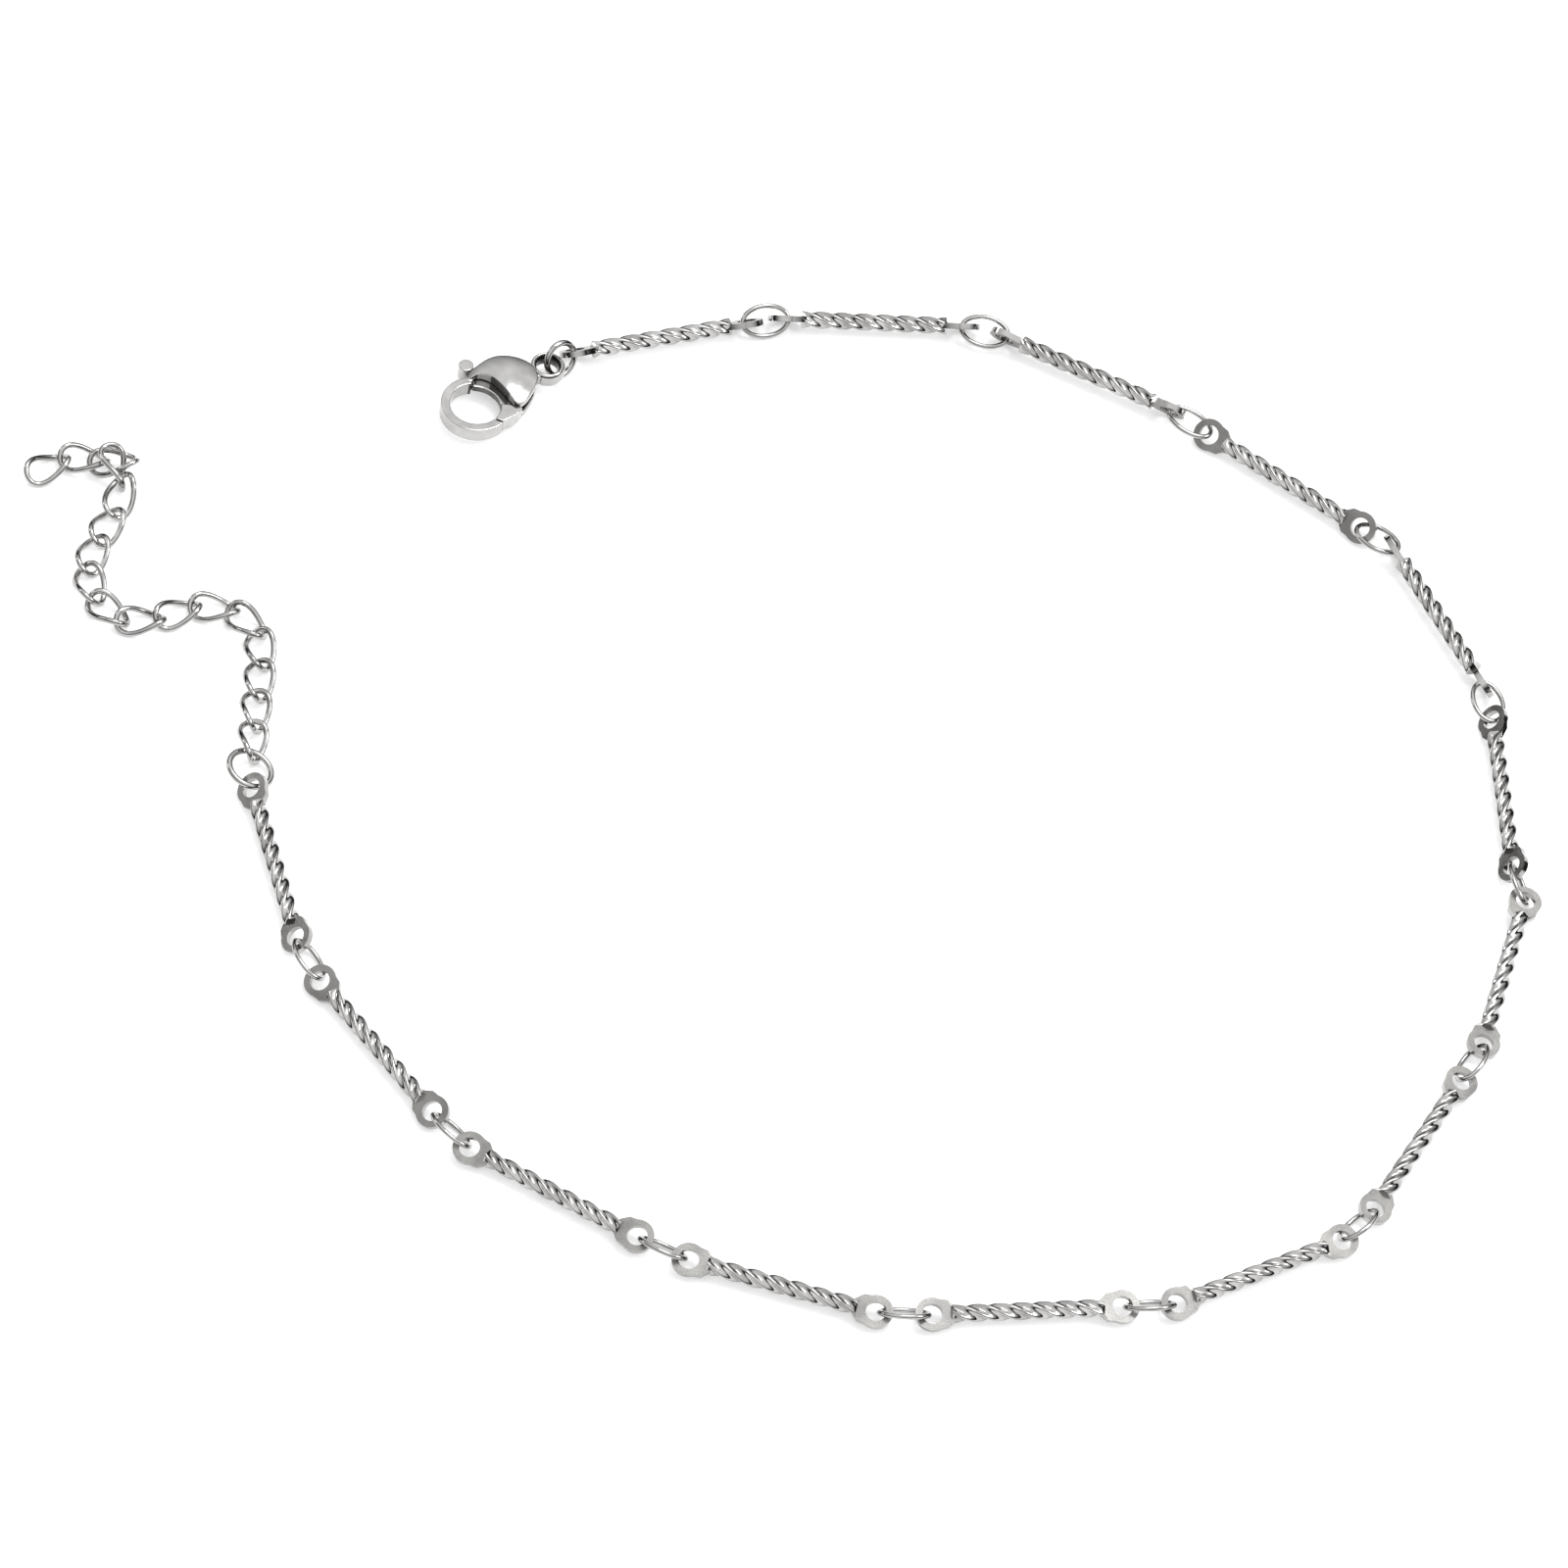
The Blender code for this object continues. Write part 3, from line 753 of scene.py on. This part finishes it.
    def loop(self) -> Solid:
        """Shape the thick end loop with its neck.

        Returns:
            The loop, with its neck inside the body.
        """
        centre = self.plan(self.loop_centre)
        tube = (self.loop_outer - self.loop_hole) / 4
        bpy.ops.mesh.primitive_torus_add(
            major_segments=self.loop_steps[0],
            minor_segments=self.loop_steps[1],
            major_radius=self.loop_hole / 2 + tube,
            minor_radius=tube,
            location=(*centre, 0.0),
        )
        loop = Bench.fresh()
        loop.scale.z = self.loop_height / (2 * tube)
        Bench.settle(loop)
        left = self.slot_back * self.hook_radius
        right = centre[0] - self.loop_hole / 2 - tube
        half = self.neck_width / 2
        narrow = half * self.neck_taper
        outline = [(left, -half), (right, -narrow), (right, narrow), (left, half)]
        neck = Bench.prism(outline, self.loop_height * self.neck_taper)
        Bench.combine(loop, neck, "UNION")
        return loop

    def body_pattern(self, steel: Steel) -> bpy.types.Mesh:
        """Join dome, hook and loop, and cut the lever's slot and the pin's bore.

        Args:
            steel: The shared materials.

        Returns:
            The body's mesh.
        """
        body = self.dome()
        Bench.combine(body, self.hook(), "UNION")
        Bench.combine(body, self.loop(), "UNION")
        root = self.slot_side / math.tan(math.radians(self.slot_root))
        plan = [(0.0, 0.0), (root, self.slot_side), (self.slot_back, self.slot_side)]
        plan += [(self.slot_back, -self.slot_side), (self.slot_front, -self.slot_side)]
        Bench.combine(body, Bench.prism(self.shares(plan), self.slot_width), "DIFFERENCE")
        bore = Bench.post(
            self.plan(self.pivot), self.pin_diameter + 2 * GAP, self.pin_length + 2 * GAP
        )
        Bench.combine(body, bore, "DIFFERENCE")
        self.cast(body)
        return self.dressed(body, steel, [(0.0, 0.0), self.plan(self.loop_centre)])

    def lever_pattern(self, steel: Steel) -> bpy.types.Mesh:
        """Join the lever's plate, closing arm and thumb knob.

        Args:
            steel: The shared materials.

        Returns:
            The lever's mesh.
        """
        inner = self.hook_radius - self.hook_band
        pivot = self.plan(self.pivot)
        web = arc((0, 0), inner, self.lever_from, self.lever_to, self.web_steps)
        web += self.shares(self.lever_back)
        web.append(arc((0, 0), self.hook_radius, self.lever_from, 0, 1)[0])
        lever = Bench.prism(web, self.lever_thickness)
        far = self.hook_tip - 360 - self.tip_overrun
        plan = arc((0, 0), inner, far, self.arm_from, self.arm_steps)
        plan += self.shares(self.arm_back)
        plan += arc((0, 0), self.hook_radius, self.lever_from, far, self.arm_steps)
        arm = Bench.prism(plan, self.hook_thickness)
        end = Bench.post(pivot, 2 * self.reach(), 3 * self.hook_thickness, self.swing_sides)
        Bench.combine(arm, end, "INTERSECT")
        Bench.combine(lever, arm, "UNION")
        knob = Bench.post(self.plan(self.knob_centre), self.knob_diameter, self.hook_thickness)
        Bench.combine(lever, knob, "UNION")
        bore = Bench.post(pivot, self.pin_diameter + 2 * GAP, self.hook_thickness)
        Bench.combine(lever, bore, "DIFFERENCE")
        self.cast(lever)
        return self.dressed(lever, steel, [(0.0, 0.0)])

    def pin_pattern(self, steel: Steel) -> bpy.types.Mesh:
        """Turn the plain pin, with its ends chamfered.

        Args:
            steel: The shared materials.

        Returns:
            The pin's mesh.
        """
        pin = Bench.post(self.plan(self.pivot), self.pin_diameter, self.pin_length)
        limit = math.radians(self.pin_edge_angle)
        Bench.finish_with(pin, "BEVEL", width=self.pin_chamfer, segments=2, angle_limit=limit)
        bpy.ops.object.shade_smooth_by_angle(angle=math.radians(self.pin_smooth_angle))
        return self.dressed(pin, steel, [])

    def dressed(self, solid: Solid, steel: Steel, hollows: Sequence[Point]) -> bpy.types.Mesh:
        """Give a clasp piece its finish, with painted shade where it faces into a hollow.

        Args:
            solid: The piece, which is used up.
            steel: The shared materials.
            hollows: The middles of the openings whose inner walls get painted shade.

        Returns:
            The dressed mesh.
        """
        mesh = solid.data
        mesh.materials.clear()
        for finish in (CAST, PAINTED_SHADE):
            mesh.materials.append(steel.get(finish))
        # Painted shade: faces that face into an opening get the dark steel instead of the cast
        # steel.
        for face in mesh.polygons:
            if face.center.x < self.painted_shade_from * self.hook_radius:
                continue
            for middle in hollows:
                inward = Vector((*middle, 0.0)) - face.center
                inward.z = 0.0
                facing = face.normal.dot(inward.normalized())
                if inward.length < self.hook_radius and facing > self.painted_shade_facing:
                    face.material_index = 1
        bpy.data.objects.remove(solid)
        return mesh


def flat_direction(heading: float) -> Vector:
    """The level direction of a heading, in degrees turned left from +X."""
    angle = math.radians(heading)
    return Vector((math.cos(angle), math.sin(angle), 0.0))


def leaned(along: Vector, lean: float) -> Vector:
    """The upright direction across a piece, leaned to the left of its way.

    Args:
        along: The piece's way.
        lean: The lean in degrees.

    Returns:
        The leaned direction.
    """
    left = UP.cross(along).normalized()
    upright = along.cross(left)
    angle = math.radians(lean)
    return (upright * math.cos(angle) + left * math.sin(angle)).normalized()


def placement(origin: Vector, along: Vector, normal: Vector) -> Matrix:
    """A matrix with X along the piece and Z on its normal.

    Args:
        origin: Where the piece's origin goes.
        along: The piece's way.
        normal: The normal of its plane.

    Returns:
        The matrix.
    """
    x_axis = along.normalized()
    y_axis = normal.cross(x_axis).normalized()
    z_axis = x_axis.cross(y_axis)
    rotation = Matrix((x_axis, y_axis, z_axis)).transposed().to_4x4()
    return Matrix.Translation(origin) @ rotation


def stepped(start: Vector, heading: float, length: float, height: float) -> Vector:
    """The point at a height that lies a straight length from the start.

    Args:
        start: Where the step starts.
        heading: Its heading in degrees.
        length: Its length.
        height: The height that it ends at.

    Returns:
        The end of the step.
    """
    rise = height - start.z
    run = math.sqrt(length * length - rise * rise)
    return start + flat_direction(heading) * run + UP * rise


def crossing(roll: float, lean: float) -> float:
    """Angle between an eyelet's normal and the wire of a ring that passes through it."""
    return math.radians((lean - roll + 90) % 180 - 90)


@dataclass
class Route:
    """How the anklet lies: the same headings and leans as in the part's source."""

    bar: TwistedBar
    ring: WireRing
    clasp_ring: WireRing
    tail_ring: WireRing
    link: WireRing
    clasp: LobsterClasp
    clasp_heading: float = 49.0
    clasp_ring_lean: float = 24.0
    clasp_ring_heading: float = 50.0
    clasp_ring_pull: float = 0.5
    loop_pull: float = 0.0
    bars: tuple[tuple[float, float], ...] = (
        (28, 45), (12, 50), (-16, 62), (-26, -43), (-54, 62), (-77, -48), (-96, 7),
        (-110, 14), (-142, 17), (-163, 17), (175, 17), (160, 18), (136, 30), (114, 42),
    )
    rings: tuple[tuple[float, float, float], ...] = (
        (24, 51, -0.8), (-5, 66, -0.4), (-26, 98, 0.1), (-30, 97, -0.6), (-70, 96, -0.1),
        (-68, -34, -0.4), (-107, 46, 0.65), (-120, 47, 0.5), (-162, 47, 0.5), (-169, 48, 0.55),
        (164, 48, 0.6), (141, 49, 0.5), (125, 54, 0.65),
    )
    tail_heading: float = 106.0
    tail_lean: float = 74.0
    tail_pull: float = 0.8
    first_link_push: float = 6 * GAP
    link_slack: float = 3 * GAP
    link_samples: int = 16
    bend_tuck: float = 0.16
    links: tuple[tuple[float, float], ...] = (
        (97, -30), (96, -20), (95, -10), (103, -4), (142, 0), (187, 0), (220, 0),
        (200, 0), (146, 0), (112, 0), (84, 0), (76, 0),
    )
    heap: tuple[tuple[float, ...], ...] = (
        (82, 0.72, 2.1, 88, 10, 14), (110, 0.56, 3.4, 120, -45, 20),
        (110, 0.20, 2.6, 190, 0, -12), (180, 0.55, 1.9, 188, 0, 0),
        (208, 0.70, 1.5, 228, 0, 0),
    )

    def ring_rest(self, lean: float, ring: WireRing) -> float:
        """Height of a leaned ring's centre when its low side lies on the surface."""
        return (ring.width - ring.wire) / 2 * abs(math.cos(math.radians(lean))) + ring.wire / 2

    def ring_placement(
        self, start: Vector, end: Vector, distance: float, lean: float, rest: float
    ) -> Matrix:
        """Lay a leaned ring along two points, no lower than its rest.

        Args:
            start: The first point.
            end: The second point.
            distance: How far the ring's centre is from the first.
            lean: The ring's lean in degrees.
            rest: The lowest height of its centre.

        Returns:
            The ring's matrix.
        """
        along = (end - start).normalized()
        centre = start + along * distance
        centre.z = max(centre.z, rest)
        return placement(centre, along, along.cross(leaned(along, lean)))

    def hole_height(self, roll: float, lean: float) -> float:
        """Height of an eyelet's hole, carried by the eyelet's edge or its ring's low side.

        Args:
            roll: The bar's roll in degrees.
            lean: The ring's lean in degrees.

        Returns:
            The height of the hole's centre.
        """
        angle = math.radians(abs(roll))
        edge = self.bar.eyelet_diameter / 2 * math.sin(angle)
        edge += self.bar.eyelet_thickness / 2 * math.cos(angle)
        return max(edge, self.ring_rest(lean, self.ring))

    def eyelet_play(self, wire: float, slant: float) -> float:
        """How far a slanted wire can move from the centre of an eyelet's hole."""
        across = self.bar.eyelet_thickness / 2 * math.tan(abs(slant)) + wire / 2 / math.cos(slant)
        return math.sqrt((self.bar.eyelet_hole / 2 - GAP) ** 2 - across**2) - wire / 2

    def clasp_place(self) -> Matrix:
        """Where the clasp lies."""
        middle = UP * self.clasp.body_thickness / 2
        return placement(middle, flat_direction(self.clasp_heading), UP)

    def clasp_ring_place(self) -> tuple[Matrix, Vector]:
        """Where the clasp's jump ring lies, and the first bar's first hole.

        Returns:
            The ring's matrix and the hole's centre.
        """
        ring, first_roll = self.clasp_ring, self.bars[0][1]
        centreline = ring.width - ring.wire
        loop_at = self.clasp_place() @ Vector((*self.clasp.plan(self.clasp.loop_centre), 0.0))
        play = self.eyelet_play(ring.wire, crossing(first_roll, self.clasp_ring_lean))
        loop_side = centreline / 2 + self.loop_pull * (self.clasp.loop_hole - ring.wire) / 2
        span = loop_side + centreline / 2 + self.clasp_ring_pull * play
        height = self.hole_height(first_roll, self.clasp_ring_lean)
        first_hole = stepped(loop_at, self.clasp_ring_heading, span, height)
        rest = self.ring_rest(self.clasp_ring_lean, ring)
        matrix = self.ring_placement(loop_at, first_hole, loop_side, self.clasp_ring_lean, rest)
        return matrix, first_hole

    def bar_places(self, start: Vector) -> tuple[list[Matrix], list[Matrix], Vector]:
        """Walk along the chain from the first hole.

        Args:
            start: The first bar's first hole.

        Returns:
            The bars' matrices, the rings' matrices and the last hole.
        """
        leans = [lean for _, lean, _ in self.rings] + [self.tail_lean]
        bars, rings, point = [], [], start
        for index, (heading, roll) in enumerate(self.bars):
            end = stepped(point, heading, self.bar.span, self.hole_height(roll, leans[index]))
            bars.append(placement(point, end - point, leaned((end - point).normalized(), roll)))
            if index == len(self.rings):
                return bars, rings, end
            ring_heading, lean, pull = self.rings[index]
            next_roll = self.bars[index + 1][1]
            reach = (self.ring.length - self.ring.wire) / 2
            first = reach + pull * self.eyelet_play(self.ring.wire, crossing(roll, lean))
            second = reach + pull * self.eyelet_play(self.ring.wire, crossing(next_roll, lean))
            point = stepped(end, ring_heading, first + second, self.hole_height(next_roll, lean))
            rest = self.ring_rest(lean, self.ring)
            rings.append(self.ring_placement(end, point, first, lean, rest))
        return bars, rings, point

    def tail_ring_place(self, last_hole: Vector) -> Matrix:
        """Where the extender's jump ring lies.

        Args:
            last_hole: The last bar's last hole.

        Returns:
            The ring's matrix.
        """
        ring = self.tail_ring
        along = flat_direction(self.tail_heading)
        play = self.eyelet_play(ring.wire, crossing(self.bars[-1][1], self.tail_lean))
        centre = last_hole + along * ((ring.length - ring.wire) / 2 + self.tail_pull * play)
        centre.z = max(last_hole.z, self.ring_rest(self.tail_lean, ring))
        return placement(centre, along, along.cross(leaned(along, self.tail_lean)))

    def link_rest(self, roll: float) -> float:
        """Height of a rolled curb link's centre when its lowest wire lies on the surface.

        Args:
            roll: The link's roll in degrees.

        Returns:
            The height.
        """
        angle = math.radians(roll)
        heights = []
        for step in range(self.link_samples):
            turn = 2 * math.pi * step / self.link_samples
            across = (self.link.width - self.link.wire) / 2 * math.sin(turn)
            rise = self.link.rise * math.sin(2 * turn)
            heights.append(across * math.sin(angle) + rise * math.cos(angle))
        return self.link.wire / 2 - min(heights)

    def link_pitch(self, before: float, after: float) -> float:
        """Distance between the centres of two curb links, less where the chain bends.

        Args:
            before: The first link's heading.
            after: The second link's heading.

        Returns:
            The distance.
        """
        bend = math.radians(abs((after - before + 180) % 360 - 180))
        drawn_tight = self.link.length - 2 * self.link.wire - self.link_slack
        return drawn_tight - self.bend_tuck * self.link.width * (1 - math.cos(bend))

    def link_places(self, tail_ring: Matrix) -> list[Matrix]:
        """Walk along the extender and up its heap.

        Args:
            tail_ring: Where its jump ring lies.

        Returns:
            The links' matrices.
        """
        ring, link = self.tail_ring, self.link
        push = (ring.length - ring.wire) / 2 + link.length / 2 - link.wire
        push -= ring.wire / 2 + self.first_link_push
        first_heading, first_roll = self.links[0]
        centre = tail_ring.translation + flat_direction(first_heading) * push
        centre.z = self.link_rest(first_roll)
        places, before = [], first_heading
        for index, (heading, roll) in enumerate(self.links):
            along = flat_direction(heading)
            if index:
                half = self.link_pitch(before, heading) / 2
                centre = centre + (flat_direction(before) + along) * half
                centre.z = self.link_rest(roll)
            places.append(placement(centre, along, leaned(along, roll)))
            before = heading
        for way, distance, height, heading, roll, climb in self.heap:
            centre = centre + flat_direction(way) * distance * link.length
            centre.z = height * link.wire
            rise = math.radians(climb)
            along = flat_direction(heading) * math.cos(rise) + UP * math.sin(rise)
            places.append(placement(centre, along, leaned(along, roll)))
        return places


@dataclass
class Anklet:
    """The whole anklet, built piece by piece along its route."""

    placer: Placer
    route: Route

    def seat(self) -> None:
        """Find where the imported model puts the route, from the clasp's pin."""
        clasp = self.route.clasp
        pin = self.route.clasp_place() @ Vector((*clasp.plan(clasp.pivot), 0.0))
        low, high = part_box("clasp_pin")
        self.placer.seat = Matrix.Translation((low + high) / 2 / MM - pin)

    def build_clasp(self) -> None:
        """Build the clasp's body, lever and pin."""
        clasp, steel, place = self.route.clasp, self.placer.steel, self.route.clasp_place()
        pieces = (
            ("clasp_shell", clasp.body_pattern(steel), "clasp_body", Body.ANKLET),
            ("clasp_trigger", clasp.lever_pattern(steel), "clasp_lever", Body.LEVER),
            ("clasp_rivet", clasp.pin_pattern(steel), "clasp_pin", Body.ANKLET),
        )
        for name, pattern, node, body in pieces:
            self.placer.place(name, pattern, place, node, Slot.CLASP, body)

    def build_row(
        self, name: str, pattern: bpy.types.Mesh, places: list[Matrix], node: str
    ) -> None:
        """Place one shape many times.

        Args:
            name: The pieces' common name.
            pattern: Their shape.
            places: Their matrices in order.
            node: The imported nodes' common name.
        """
        for index, place in enumerate(places, 1):
            number = f"{index:02d}"
            self.placer.place(
                f"{name}_{number}", pattern, place, f"{node}_{number}", Slot.CHAIN, Body.ANKLET
            )

    def build(self) -> None:
        """Build every piece in the order of the chain."""
        route, steel = self.route, self.placer.steel
        self.seat()
        self.build_clasp()
        clasp_ring, first_hole = route.clasp_ring_place()
        self.placer.place(
            "clasp_jump_ring", route.clasp_ring.pattern(steel), clasp_ring, "clasp_ring",
            Slot.CHAIN, Body.ANKLET,
        )
        bars, rings, last_hole = route.bar_places(first_hole)
        self.build_row("twisted_bar", route.bar.pattern(steel), bars, "bar")
        self.build_row("oval_ring", route.ring.pattern(steel), rings, "ring")
        tail_ring = route.tail_ring_place(last_hole)
        self.placer.place(
            "tail_jump_ring", route.tail_ring.pattern(steel), tail_ring, "tail_ring",
            Slot.CHAIN, Body.ANKLET,
        )
        links = route.link_places(tail_ring)
        self.build_row("curb_link", route.link.pattern(steel), links, "extender_link")
        log.info("largest difference between boxes: %.3f mm", self.placer.worst)


@dataclass
class Studio:
    """The pale floor, the soft lights and the photograph's view, in metres and degrees."""

    look_at: tuple[float, float, float] = (0.001637, 0.000034, 0.0)
    elevation: float = 50.816
    roll: float = 11.548
    distance: float = 0.7949
    lens: float = 272.325
    film: float = 36.0
    seen_from: float = 0.05
    seen_to: float = 20.0
    floor_size: float = 6.0
    floor_colour: tuple[float, float, float] = (0.80, 0.80, 0.80)
    floor_roughness: float = 0.85
    floor_gloss: float = 0.15
    floor_glow: float = 0.42
    horizon_light: float = 0.015
    zenith_light: float = 1.25
    dark_until: float = 0.26
    bright_from: float = 0.68
    left_share: float = 0.62
    left_until: float = -0.80
    level_from: float = -0.15
    softboxes: tuple[tuple[str, tuple[float, float, float], float, float], ...] = (
        ("back_light", (0.12, 0.30, 0.90), 0.42, 3.0),
        ("left_light", (-0.80, 0.25, 0.40), 0.25, 0.6),
        ("right_light", (0.66, 0.05, 0.60), 0.26, 1.6),
    )

    def camera(self) -> None:
        """Set the camera up at the photograph's angle."""
        tilt, roll = math.radians(self.elevation), math.radians(self.roll)
        back = Vector((0.0, -math.cos(tilt), math.sin(tilt)))
        right = Vector((1.0, 0.0, 0.0))
        up = back.cross(right)
        turned_right = right * math.cos(roll) + up * math.sin(roll)
        turned_up = up * math.cos(roll) - right * math.sin(roll)
        lens = bpy.data.cameras.new("view")
        lens.lens = self.lens
        lens.sensor_width = self.film
        lens.clip_start, lens.clip_end = self.seen_from, self.seen_to
        camera = bpy.data.objects.new("view", lens)
        rotation = Matrix((turned_right, turned_up, back)).transposed().to_4x4()
        stand = Vector(self.look_at) + back * self.distance
        camera.matrix_world = Matrix.Translation(stand) @ rotation
        bpy.context.scene.collection.objects.link(camera)
        bpy.context.scene.camera = camera

    def floor(self) -> None:
        """Lay the plain pale floor, lit softly from below as on a light table."""
        bpy.ops.object.select_all(action="DESELECT")
        bpy.ops.mesh.primitive_plane_add(size=self.floor_size)
        plane = Bench.fresh()
        plane.name = "floor"
        material = bpy.data.materials.new("pale_floor")
        material.use_nodes = True
        shader = material.node_tree.nodes["Principled BSDF"]
        shader.inputs["Base Color"].default_value = (*self.floor_colour, 1.0)
        shader.inputs["Roughness"].default_value = self.floor_roughness
        shader.inputs["Specular IOR Level"].default_value = self.floor_gloss
        shader.inputs["Emission Color"].default_value = (1.0, 1.0, 1.0, 1.0)
        shader.inputs["Emission Strength"].default_value = self.floor_glow
        plane.data.materials.append(material)
        plane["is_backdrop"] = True

    def softbox(
        self, name: str, place: tuple[float, float, float], size: float, power: float
    ) -> None:
        """Hang a square soft light that faces the object.

        Args:
            name: Its name.
            place: Where it hangs.
            size: The side of its face.
            power: Its power in watts.
        """
        light = bpy.data.lights.new(name, "AREA")
        light.shape = "SQUARE"
        light.size = size
        light.energy = power
        lamp = bpy.data.objects.new(name, light)
        lamp.location = place
        lamp.rotation_euler = Vector(place).to_track_quat("Z", "Y").to_euler()
        bpy.context.scene.collection.objects.link(lamp)

    def surround(self) -> None:
        """Make the room bright overhead, dark low down and on the left, and white to the eye."""
        world = bpy.data.worlds.new("surround")
        world.use_nodes = True
        nodes, links = world.node_tree.nodes, world.node_tree.links
        way = nodes.new("ShaderNodeTexCoord")
        split = nodes.new("ShaderNodeSeparateXYZ")
        links.new(way.outputs["Generated"], split.inputs["Vector"])
        tones = nodes.new("ShaderNodeValToRGB")
        tones.color_ramp.elements[0].position = self.dark_until
        tones.color_ramp.elements[0].color = (*(self.horizon_light,) * 3, 1.0)
        tones.color_ramp.elements[1].position = self.bright_from
        tones.color_ramp.elements[1].color = (*(self.zenith_light,) * 3, 1.0)
        links.new(split.outputs["Z"], tones.inputs["Fac"])
        side = nodes.new("ShaderNodeMapRange")
        side.inputs["From Min"].default_value = self.left_until
        side.inputs["From Max"].default_value = self.level_from
        side.inputs["To Min"].default_value = self.left_share
        links.new(split.outputs["X"], side.inputs["Value"])
        room = nodes["Background"]
        links.new(tones.outputs["Color"], room.inputs["Color"])
        links.new(side.outputs["Result"], room.inputs["Strength"])
        backdrop = nodes.new("ShaderNodeBackground")
        backdrop.inputs["Color"].default_value = (1.0, 1.0, 1.0, 1.0)
        seen = nodes.new("ShaderNodeLightPath")
        mix = nodes.new("ShaderNodeMixShader")
        links.new(seen.outputs["Is Camera Ray"], mix.inputs["Fac"])
        links.new(room.outputs["Background"], mix.inputs[1])
        links.new(backdrop.outputs["Background"], mix.inputs[2])
        links.new(mix.outputs["Shader"], nodes["World Output"].inputs["Surface"])
        bpy.context.scene.world = world

    def lights(self) -> None:
        """Hang the soft lights in the surround."""
        self.surround()
        for name, place, size, power in self.softboxes:
            self.softbox(name, place, size, power)
        bpy.context.scene.view_settings.view_transform = "Standard"

    def build(self) -> None:
        """Set up view, floor and lights."""
        self.camera()
        self.floor()
        self.lights()


def corners() -> list[list[float]]:
    """The shown object's box as plain lists."""
    return [list(corner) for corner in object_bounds()]


def main() -> None:
    """Build the view, then the anklet."""
    logging.basicConfig(level=logging.INFO, format="%(message)s")
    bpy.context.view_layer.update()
    Studio().build()
    route = Route(
        bar=TwistedBar(),
        ring=WireRing(3.65, 2.45, 0.36),
        clasp_ring=WireRing(2.85, 2.85, 0.45),
        tail_ring=WireRing(3.45, 3.45, 0.45),
        link=WireRing(3.70, 2.30, 0.42, rise=-0.42),
        clasp=LobsterClasp(),
    )
    Anklet(Placer(Steel()), route).build()


if __name__ == "__main__":
    main()
